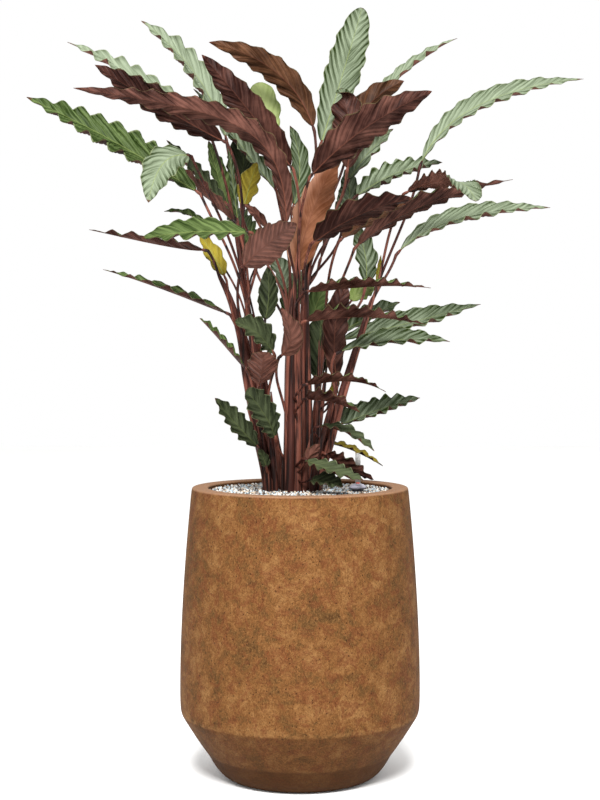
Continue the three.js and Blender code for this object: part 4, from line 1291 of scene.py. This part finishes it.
def hairs_tree():
    """Hairs standing on the stalks only, turned and sized at random."""
    recipe = Recipe("stalk_hairs")
    for name, kind in (
        ("Stalk", "Material"), ("Hair", "Object"), ("Skin", "Material"), ("Length", "Float"),
        ("Density", "Float"), ("Seed", "Int"),
    ):
        recipe.ask(name, "NodeSocket" + kind)
    chosen = recipe.node("GeometryNodeMaterialSelection", None, {"Material": recipe.given("Stalk")})
    points = recipe.node("GeometryNodeDistributePointsOnFaces", None, {
        "Mesh": recipe.given("Geometry"), "Selection": chosen.outputs[0], "Density": recipe.given("Density"),
        "Seed": recipe.given("Seed"),
    })
    shape = recipe.node("GeometryNodeObjectInfo", None, {"Object": recipe.given("Hair"), "As Instance": True})
    share = recipe.node("FunctionNodeRandomValue", {"data_type": "FLOAT"}, {
        "Min": 0.5, "Max": 1.0, "Seed": 4,
    })
    size = recipe.node("ShaderNodeMath", {"operation": "MULTIPLY"})
    recipe.tree.links.new(share.outputs[1], size.inputs[0])
    recipe.tree.links.new(recipe.given("Length"), size.inputs[1])
    laid = recipe.node("GeometryNodeInstanceOnPoints", None, {
        "Points": points.outputs["Points"], "Instance": shape.outputs["Geometry"],
        "Rotation": points.outputs["Rotation"], "Scale": size.outputs[0],
    })
    whole = recipe.node("GeometryNodeRealizeInstances", None, {"Geometry": laid.outputs["Instances"]})
    clad = recipe.node("GeometryNodeSetMaterial", None, {
        "Geometry": whole.outputs["Geometry"], "Material": recipe.given("Skin"),
    })
    return recipe.finish(clad.outputs["Geometry"])


def hair_finish(look):
    """Pale reddish down, a little uneven."""
    finish = Finish("stalk_down")
    cloud = finish.noise(finish.place(), 0.02, 2)
    shade = finish.mix(cloud, tuple(look.body), tuple(look.light))
    return finish.close(shade, roughness=0.6 + 0.2 * cloud)


class CALATHEA_OT_leaves(bpy.types.Operator):
    """Builds every large leaf as a waved blade with both faces"""

    bl_idname = "calathea.leaves"
    bl_label = "Make leaves"

    def execute(self, context):
        look = context.scene.calathea_leaf
        finishes = shared_finish("leaves", lambda: leaf_finishes(look))
        for leaf in LEAVES:
            name, kind = leaf[0], leaf[3]
            gathered = Gathered("blade_mm", "blade_share")
            add_blade(gathered, leaf, 0, 1, look.ripple / MM)
            mesh = gathered.mesh("blade_" + name, [finishes[face] for face in faces_of(leaf)])
            add_piece("blade_" + name, mesh, SLOT_OF[kind], "leaf_" + name)
        return {"FINISHED"}


def heading(leaf):
    """The direction in which a leaf's stalk leaves its shoot, seen from above."""
    start, _ = sheath_at(leaf[1], np.array([float(leaf[2])]))
    gone = np.asarray(leaf[6], float) - start[0]
    return math.atan2(gone[1], gone[0])


def shoot_mesh(shoot, radius, ripple, skin, finishes):
    """A shoot's stalks round the core of its sheath, its old sheaths and its small leaves."""
    chance = random.Random(shoot)
    gathered = Gathered("strand", "blade_mm", "blade_share")
    grown = sorted((leaf for leaf in LEAVES + SMALL_LEAVES if leaf[1] == shoot), key=heading)
    for rank, leaf in enumerate(grown):
        angle = 0.5 * (2 * math.pi * rank / len(grown) - math.pi) + 0.5 * heading(leaf)
        tight = (1.02, 0.82, 0.96)[rank % 3]
        add_stalk(gathered, leaf, angle, tight, radius, chance.random())
    heights = np.arange(ROOT_DEPTH + 1, SHOOTS[shoot][-1][2] - 20, 12.0)
    middle, sheath = sheath_at(shoot, heights)
    add_tube(gathered, middle, sheath * 0.6, CORE_SIDES, 0.1)
    for line in [np.array(old[1:], float) for old in OLD_SHEATHS if old[0] == shoot]:
        levels = np.arange(line[0, 2], line[-1, 2], 8.0)
        rows = np.stack([np.interp(levels, line[:, 2], line[:, k]) for k in range(4)], 1)
        add_tube(gathered, rows[:, :3], rows[:, 3], STALK_SIDES, chance.random())
    order = list(finishes)
    for leaf in [leaf for leaf in SMALL_LEAVES if leaf[1] == shoot]:
        upper, under = (1 + order.index(face) for face in faces_of(leaf))
        add_blade(gathered, leaf, upper, under, ripple)
    return gathered.mesh(shoot + "_stalks", [skin, *finishes.values()])


class CALATHEA_OT_shoots(bpy.types.Operator):
    """Builds each shoot: its stalks in their sheath, with the small leaves and the hairs on them"""

    bl_idname = "calathea.shoots"
    bl_label = "Make shoots"

    def execute(self, context):
        look, leaf_look = context.scene.calathea_stalk, context.scene.calathea_leaf
        finishes = shared_finish("leaves", lambda: leaf_finishes(leaf_look))
        skin = stalk_finish(look)
        sliver, down = hair_shape(), hair_finish(look)
        for shoot in SHOOTS:
            mesh = shoot_mesh(shoot, look.radius / MM, leaf_look.ripple / MM, skin, finishes)
            add_piece(shoot + "_stalks", mesh, "stem", shoot)
            hairs = grown_mesh(mesh, hairs_tree(), {
                "Stalk": skin, "Hair": sliver, "Skin": down, "Length": look.hair, "Density": look.hairiness,
                "Seed": look.hair_seed,
            })
            add_piece(shoot + "_hairs", hairs, "stem", shoot)
        bpy.data.objects.remove(sliver)
        return {"FINISHED"}


class CALATHEA_OT_pot(bpy.types.Operator):
    """Turns the pot from its outline"""

    bl_idname = "calathea.pot"
    bl_label = "Make pot"

    def execute(self, context):
        vertices, faces = turned(pot_profile(), POT_SIDES)
        mesh = make_mesh("planter", vertices, faces, [pot_finish(context.scene.calathea_pot)])
        add_piece("planter", mesh, "pot", "pot")
        return {"FINISHED"}


def chip_shape(name, seed):
    """A broken stone chip of a few dozen faces, about 1 metre across before it is scaled."""
    chance = random.Random(seed)
    shape = bmesh.new()
    for _ in range(15):
        spot = unit(np.array([chance.gauss(0, 1) for _ in range(3)]))
        stretch = np.array([0.5, 0.42, 0.34]) * chance.uniform(0.86, 1.0)
        shape.verts.new((spot * stretch).tolist())
    bmesh.ops.convex_hull(shape, input=shape.verts)
    for vertex in [v for v in shape.verts if not v.link_faces]:
        shape.verts.remove(vertex)
    bmesh.ops.recalc_face_normals(shape, faces=shape.faces)
    mesh = bpy.data.meshes.new(name)
    shape.to_mesh(mesh)
    shape.free()
    return bpy.data.objects.new(name, mesh)


def chips_tree():
    """Stone chips scattered over a bed, turned and sized at random."""
    recipe = Recipe("scattered_chips")
    for name, kind in (
        ("Spacing", "Float"), ("Smallest", "Float"), ("Largest", "Float"), ("Seed", "Int"),
        ("Chips", "Collection"), ("Stone", "Material"),
    ):
        recipe.ask(name, "NodeSocket" + kind)
    points = recipe.node("GeometryNodeDistributePointsOnFaces", {"distribute_method": "POISSON"}, {
        "Mesh": recipe.given("Geometry"), "Distance Min": recipe.given("Spacing"), "Density Max": 120000.0,
        "Density Factor": 1.0, "Seed": recipe.given("Seed"),
    })
    shapes = recipe.node("GeometryNodeCollectionInfo", None, {
        "Collection": recipe.given("Chips"), "Separate Children": True, "Reset Children": True,
    })
    turn = recipe.node("FunctionNodeRandomValue", {"data_type": "FLOAT_VECTOR"}, {
        "Min": (0.0, 0.0, 0.0), "Max": (6.283, 6.283, 6.283), "Seed": recipe.given("Seed"),
    })
    size = recipe.node("FunctionNodeRandomValue", {"data_type": "FLOAT"}, {
        "Min": recipe.given("Smallest"), "Max": recipe.given("Largest"), "Seed": 3,
    })
    laid = recipe.node("GeometryNodeInstanceOnPoints", None, {
        "Points": points.outputs["Points"], "Instance": shapes.outputs["Instances"], "Pick Instance": True,
        "Rotation": turn.outputs["Value"], "Scale": size.outputs[1],
    })
    pick = recipe.node("FunctionNodeRandomValue", {"data_type": "FLOAT_VECTOR"}, {
        "Min": (0.0, 0.0, 0.0), "Max": (1.0, 1.0, 1.0), "Seed": 7,
    })
    held = {"data_type": "FLOAT_VECTOR", "domain": "INSTANCE"}
    marked = recipe.node("GeometryNodeStoreNamedAttribute", held, {
        "Geometry": laid.outputs["Instances"], "Name": "stone", "Value": pick.outputs["Value"],
    })
    whole = recipe.node("GeometryNodeRealizeInstances", None, {"Geometry": marked.outputs["Geometry"]})
    clad = recipe.node("GeometryNodeSetMaterial", None, {
        "Geometry": whole.outputs["Geometry"], "Material": recipe.given("Stone"),
    })
    return recipe.finish(clad.outputs["Geometry"])


def stone_finish():
    """Chips of eight kinds of stone, each a little lighter or darker, with a fine grain."""
    finish = Finish("stone_chips")
    pick, tone, _ = finish.parts("stone")
    grain = finish.noise(finish.place(), 0.0012, 3, 0.6)
    shade = finish.ramp(pick, [(start, linear(tint)) for start, tint in STONES], "CONSTANT")
    shade = finish.mix(finish.between(grain, 0.45, 0.7) * 0.35, shade, linear(0x6A6058))
    shade = finish.mix(tone * 0.18, shade, linear(0xCFCDC8))
    return finish.close(shade, finish.bump(grain, 0.0005, 0.5), roughness=0.6 + 0.25 * grain)


def bed_finish(gap):
    """The dark grit between the chips."""
    finish = Finish("gravel_bed")
    grain = finish.noise(finish.place(), 0.003, 4, 0.6)
    shade = finish.mix(finish.between(grain, 0.4, 0.7), tuple(gap), tuple(2.2 * c for c in gap))
    return finish.close(shade, finish.bump(grain, 0.002, 0.8), roughness=0.95)


def soil_finish():
    """Dark crumbly potting soil."""
    finish = Finish("potting_soil")
    crumb = finish.noise(finish.place(), 0.006, 5, 0.7)
    shade = finish.mix(crumb, surface(0x1E150E), surface(0x4A382A))
    return finish.close(shade, finish.bump(crumb, 0.003), roughness=0.95)


def bed_shape():
    """A low disc under the chips, a little uneven on top."""
    rim = POT_MOUTH_RADIUS - 1.2
    level = GRAVEL_TOP + 0.5
    radii = [rim, rim - 1] + [rim * share for share in np.linspace(0.96, 0.06, 15)]
    rows = [(0, GRAVEL_BOTTOM), (rim * 0.5, GRAVEL_BOTTOM), (rim, GRAVEL_BOTTOM)]
    vertices, faces = turned(rows + [(radius, level) for radius in radii] + [(0, level)], BED_SIDES)
    chance = random.Random(8)
    for row in vertices:
        if row[2] > GRAVEL_BOTTOM + 1 and math.hypot(row[0], row[1]) < POT_MOUTH_RADIUS - 4:
            row[2] += chance.uniform(-1.2, 1.4)
    return vertices, faces


def keep_in_mouth(mesh):
    """Draws chips that reach past the pot's mouth back inside it."""
    spots = np.zeros(len(mesh.vertices) * 3, np.float32)
    mesh.vertices.foreach_get("co", spots)
    spots = spots.reshape(-1, 3)
    radius = np.hypot(spots[:, 0], spots[:, 1])
    pulled = np.minimum(radius, (POT_MOUTH_RADIUS - 0.9) * MM) / np.maximum(radius, 1e-6)
    spots[:, :2] *= pulled[:, None]
    mesh.vertices.foreach_set("co", spots.ravel())
    mesh.update()


class CALATHEA_OT_fill(bpy.types.Operator):
    """Lays the gravel chips on the soil"""

    bl_idname = "calathea.fill"
    bl_label = "Fill pot"

    def execute(self, context):
        look = context.scene.calathea_gravel
        vertices, faces = bed_shape()
        bed = make_mesh("gravel_bed", vertices, faces, [bed_finish(look.gap)])
        upper = [face for face in faces if min(vertices[i][2] for i in face) > GRAVEL_BOTTOM + 4]
        chips = bpy.data.collections.new("chips")
        shapes = [chip_shape(f"chip_{k}", k + 20) for k in range(6)]
        for shape in shapes:
            chips.objects.link(shape)
        scattered = grown_mesh(make_mesh("gravel_top", vertices, upper), chips_tree(), {
            "Spacing": look.spacing, "Smallest": look.smallest, "Largest": look.largest, "Seed": look.seed,
            "Chips": chips, "Stone": stone_finish(),
        })
        for shape in shapes:
            bpy.data.objects.remove(shape)
        bpy.data.collections.remove(chips)
        keep_in_mouth(scattered)
        add_piece("gravel_bed", bed, "gravel", "gravel")
        add_piece("gravel_chips", scattered, "gravel", "gravel")
        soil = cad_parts["soil"]
        soil.data.materials.clear()
        soil.data.materials.append(soil_finish())
        return {"FINISHED"}


def gauge_shape():
    """The gauge's tube and domed cap with a lobed skirt."""
    rows = [(0, 150), (9, 150), (9, GAUGE_SEAT - 1)]
    rows += [(radius, GAUGE_SEAT + rise) for radius, rise in (
        (9.2, 0), (13.2, 0), (14, 0.7), (14, 2.2), (13.4, 2.9), (12.2, 3.4), (11.9, 4.4), (11, 5.6),
        (9, 7), (6.4, 7.8), (3.3, 8), (3.1, 9.6), (2.4, 10), (0, 10),
    )]
    vertices, faces = turned(rows, GAUGE_SIDES, GAUGE_PLACE)
    for row in vertices:
        dx, dy = row[0] - GAUGE_PLACE[0], row[1] - GAUGE_PLACE[1]
        if math.hypot(dx, dy) > 12.5 and row[2] > GAUGE_SEAT - 0.5:
            scale = 1 - 0.07 * (0.5 - 0.5 * math.cos(GAUGE_LOBES * math.atan2(dy, dx)))
            row[0], row[1] = GAUGE_PLACE[0] + dx * scale, GAUGE_PLACE[1] + dy * scale
    return vertices, faces


def gauge_finish():
    """Grey-lilac plastic with a dark foot to the skirt and a red dot on the knob."""
    finish = Finish("gauge_plastic")
    seat = GAUGE_SEAT * MM
    place = finish.place()
    x, y, z = finish.split(place)
    dx, dy = x - GAUGE_PLACE[0] * MM, y - GAUGE_PLACE[1] * MM
    grain = finish.noise(place, 0.0015, 2)
    shade = finish.mix(grain, linear(0x8A8894), linear(0xACAAB6))
    skirt = 1 - finish.between(z, seat + 0.0022, seat + 0.0038)
    shade = finish.mix(skirt * 0.8, shade, surface(0x3E3C44))
    dot = 1 - finish.between((dx * dx + dy * dy) ** 0.5, 0.0034, 0.0036)
    shade = finish.mix(dot * finish.between(z, seat + 0.0081, seat + 0.0084), shade, linear(0xA8321A))
    return finish.close(shade, finish.bump(grain, 0.0002, 0.4), roughness=0.38 + 0.1 * grain)


class CALATHEA_OT_gauge(bpy.types.Operator):
    """Makes the water gauge and its cap"""

    bl_idname = "calathea.gauge"
    bl_label = "Make water gauge"

    def execute(self, context):
        mesh = make_mesh("water_gauge_cap", *gauge_shape(), [gauge_finish()])
        add_piece("water_gauge_cap", mesh, "gauge", "water_gauge")
        return {"FINISHED"}


def label_outline():
    """The strip's outline: a pointed foot, straight sides and a rounded top."""
    low, high = LABEL_SPAN
    right = [(1.2, low), (4.3, low + 14)] + [(4.3, z) for z in np.linspace(low + 22, high - 3, 9)]
    right += [(4.1, high - 1.4), (3.4, high - 0.4), (2.6, high)]
    return right + [(-x, z) for x, z in right[::-1]]


def label_mesh():
    """The strip, from its outline on both sides."""
    outline = label_outline()
    rings = [[(LABEL_PLACE[0] + x, LABEL_PLACE[1] + side, z) for x, z in outline] for side in (-0.35, 0.35)]
    count = len(outline)
    faces = [tuple(range(count)), tuple(range(count, 2 * count))[::-1]]
    faces += [(k, k + count, (k + 1) % count + count, (k + 1) % count) for k in range(count)]
    mesh = make_mesh("label_strip", rings[0] + rings[1], faces, [label_finish()])
    mesh.polygons.foreach_set("use_smooth", np.full(len(faces), False))
    return mesh


def label_finish():
    """White plastic with a yellow band near its top, and painted shade on its lower end."""
    finish = Finish("label_plastic")
    place = finish.place()
    _, _, z = finish.split(place)
    grain = finish.noise(place, 0.002, 3)
    shade = finish.mix(grain, linear(0xC4C5C3), linear(0xD6D6D3))
    # Painted shade: the lower end of the strip, near the gravel, is painted dark for the shade that falls on
    # it there.
    painted_label_shade = 1 - finish.between(z + grain * 0.004, 0.456, 0.468)
    shade = finish.mix(painted_label_shade * 0.85, shade, linear(0x3A3128))
    band = finish.between(z, 0.4905, 0.4915) * (1 - finish.between(z, 0.4945, 0.4955))
    shade = finish.mix(band, shade, linear(0xC9A62C))
    return finish.close(shade, finish.bump(grain, 0.0002, 0.3), roughness=0.45 + 0.1 * grain)


class CALATHEA_OT_label(bpy.types.Operator):
    """Makes the plain plant label"""

    bl_idname = "calathea.label"
    bl_label = "Make label"

    def execute(self, context):
        add_piece("label_strip", label_mesh(), "label", "plant_label")
        return {"FINISHED"}


def soft_light(name, place, power):
    """A large round lamp that shines on the middle of the plant."""
    lamp = bpy.data.lights.new(name, "AREA")
    lamp.energy = power
    lamp.shape = "DISK"
    lamp.size = 1.4
    holder = bpy.data.objects.new(name, lamp)
    holder.location = place
    ahead = Vector((0, 0, 0.6)) - holder.location
    holder.rotation_euler = ahead.to_track_quat("-Z", "Y").to_euler()
    bpy.context.scene.collection.objects.link(holder)


def add_camera():
    """The camera that looks at the plant level from the front."""
    view = bpy.data.cameras.new("camera")
    view.lens, view.sensor_width, view.sensor_fit = CAMERA_LENS, 36, "AUTO"
    view.shift_y = CAMERA_SHIFT
    view.clip_end = 50
    camera = bpy.data.objects.new("camera", view)
    camera.location = (0, -CAMERA_DISTANCE * MM, CAMERA_HEIGHT * MM)
    camera.rotation_euler = (math.radians(90), 0, 0)
    bpy.context.scene.collection.objects.link(camera)
    bpy.context.scene.camera = camera


def floor_mesh():
    """A wide pale floor, just under the pot."""
    corners = [(x, y, -0.5) for x, y in ((-8000, -8000), (8000, -8000), (8000, 8000), (-8000, 8000))]
    finish = Finish("studio_floor")
    cloud = finish.noise(finish.place(), 0.6, 2)
    skin = finish.close(finish.mix(cloud, linear(0xF6F6F5), linear(0xFCFCFB)), roughness=0.9)
    return make_mesh("floor", corners, [(0, 1, 2, 3)], [skin])


class CALATHEA_OT_stage(bpy.types.Operator):
    """Sets up the pale floor, the soft lights and the camera"""

    bl_idname = "calathea.stage"
    bl_label = "Set up studio"

    def execute(self, context):
        scene, look = context.scene, context.scene.calathea_stage
        scene.view_settings.view_transform = "Standard"
        add_camera()
        ground = bpy.data.objects.new("floor", floor_mesh())
        scene.collection.objects.link(ground)
        world = bpy.data.worlds.new("studio")
        world.use_nodes = True
        back = world.node_tree.nodes["Background"]
        back.inputs["Color"].default_value = (1, 1, 1, 1)
        back.inputs["Strength"].default_value = look.backdrop
        scene.world = world
        soft_light("front_light", (-0.1, -2.3, 2.75), look.key)
        soft_light("left_light", (-2.8, -0.6, 1.6), look.fill)
        soft_light("right_light", (2.8, -0.6, 1.6), look.fill)
        return {"FINISHED"}


STEPS = ("stage", "pot", "fill", "gauge", "label", "shoots", "leaves")
SETTINGS = {
    "calathea_pot": PotSettings, "calathea_leaf": LeafSettings, "calathea_stalk": StalkSettings,
    "calathea_gravel": GravelSettings, "calathea_stage": StageSettings,
}


class CALATHEA_PT_panel(bpy.types.Panel):
    """Lists the steps that build the plant and what can be changed about them"""

    bl_label = "Potted Calathea"
    bl_idname = "CALATHEA_PT_panel"
    bl_space_type = "VIEW_3D"
    bl_region_type = "UI"
    bl_category = "Calathea"

    def draw(self, context):
        for step in STEPS:
            self.layout.operator("calathea." + step)
        for name, group in SETTINGS.items():
            box = self.layout.box()
            box.label(text=name.split("_")[1].title())
            for prop in group.__annotations__:
                box.prop(getattr(context.scene, name), prop)


CLASSES = (
    *SETTINGS.values(), CALATHEA_OT_stage, CALATHEA_OT_pot, CALATHEA_OT_fill, CALATHEA_OT_gauge,
    CALATHEA_OT_label, CALATHEA_OT_shoots, CALATHEA_OT_leaves, CALATHEA_PT_panel,
)


def register():
    for kind in CLASSES:
        bpy.utils.register_class(kind)
    for name, group in SETTINGS.items():
        setattr(bpy.types.Scene, name, PointerProperty(type=group))


def unregister():
    for name in SETTINGS:
        delattr(bpy.types.Scene, name)
    for kind in reversed(CLASSES):
        bpy.utils.unregister_class(kind)


def main():
    """Builds the plant step by step."""
    register()
    for step in STEPS:
        getattr(bpy.ops.calathea, step)()


if __name__ == "__main__":
    main()
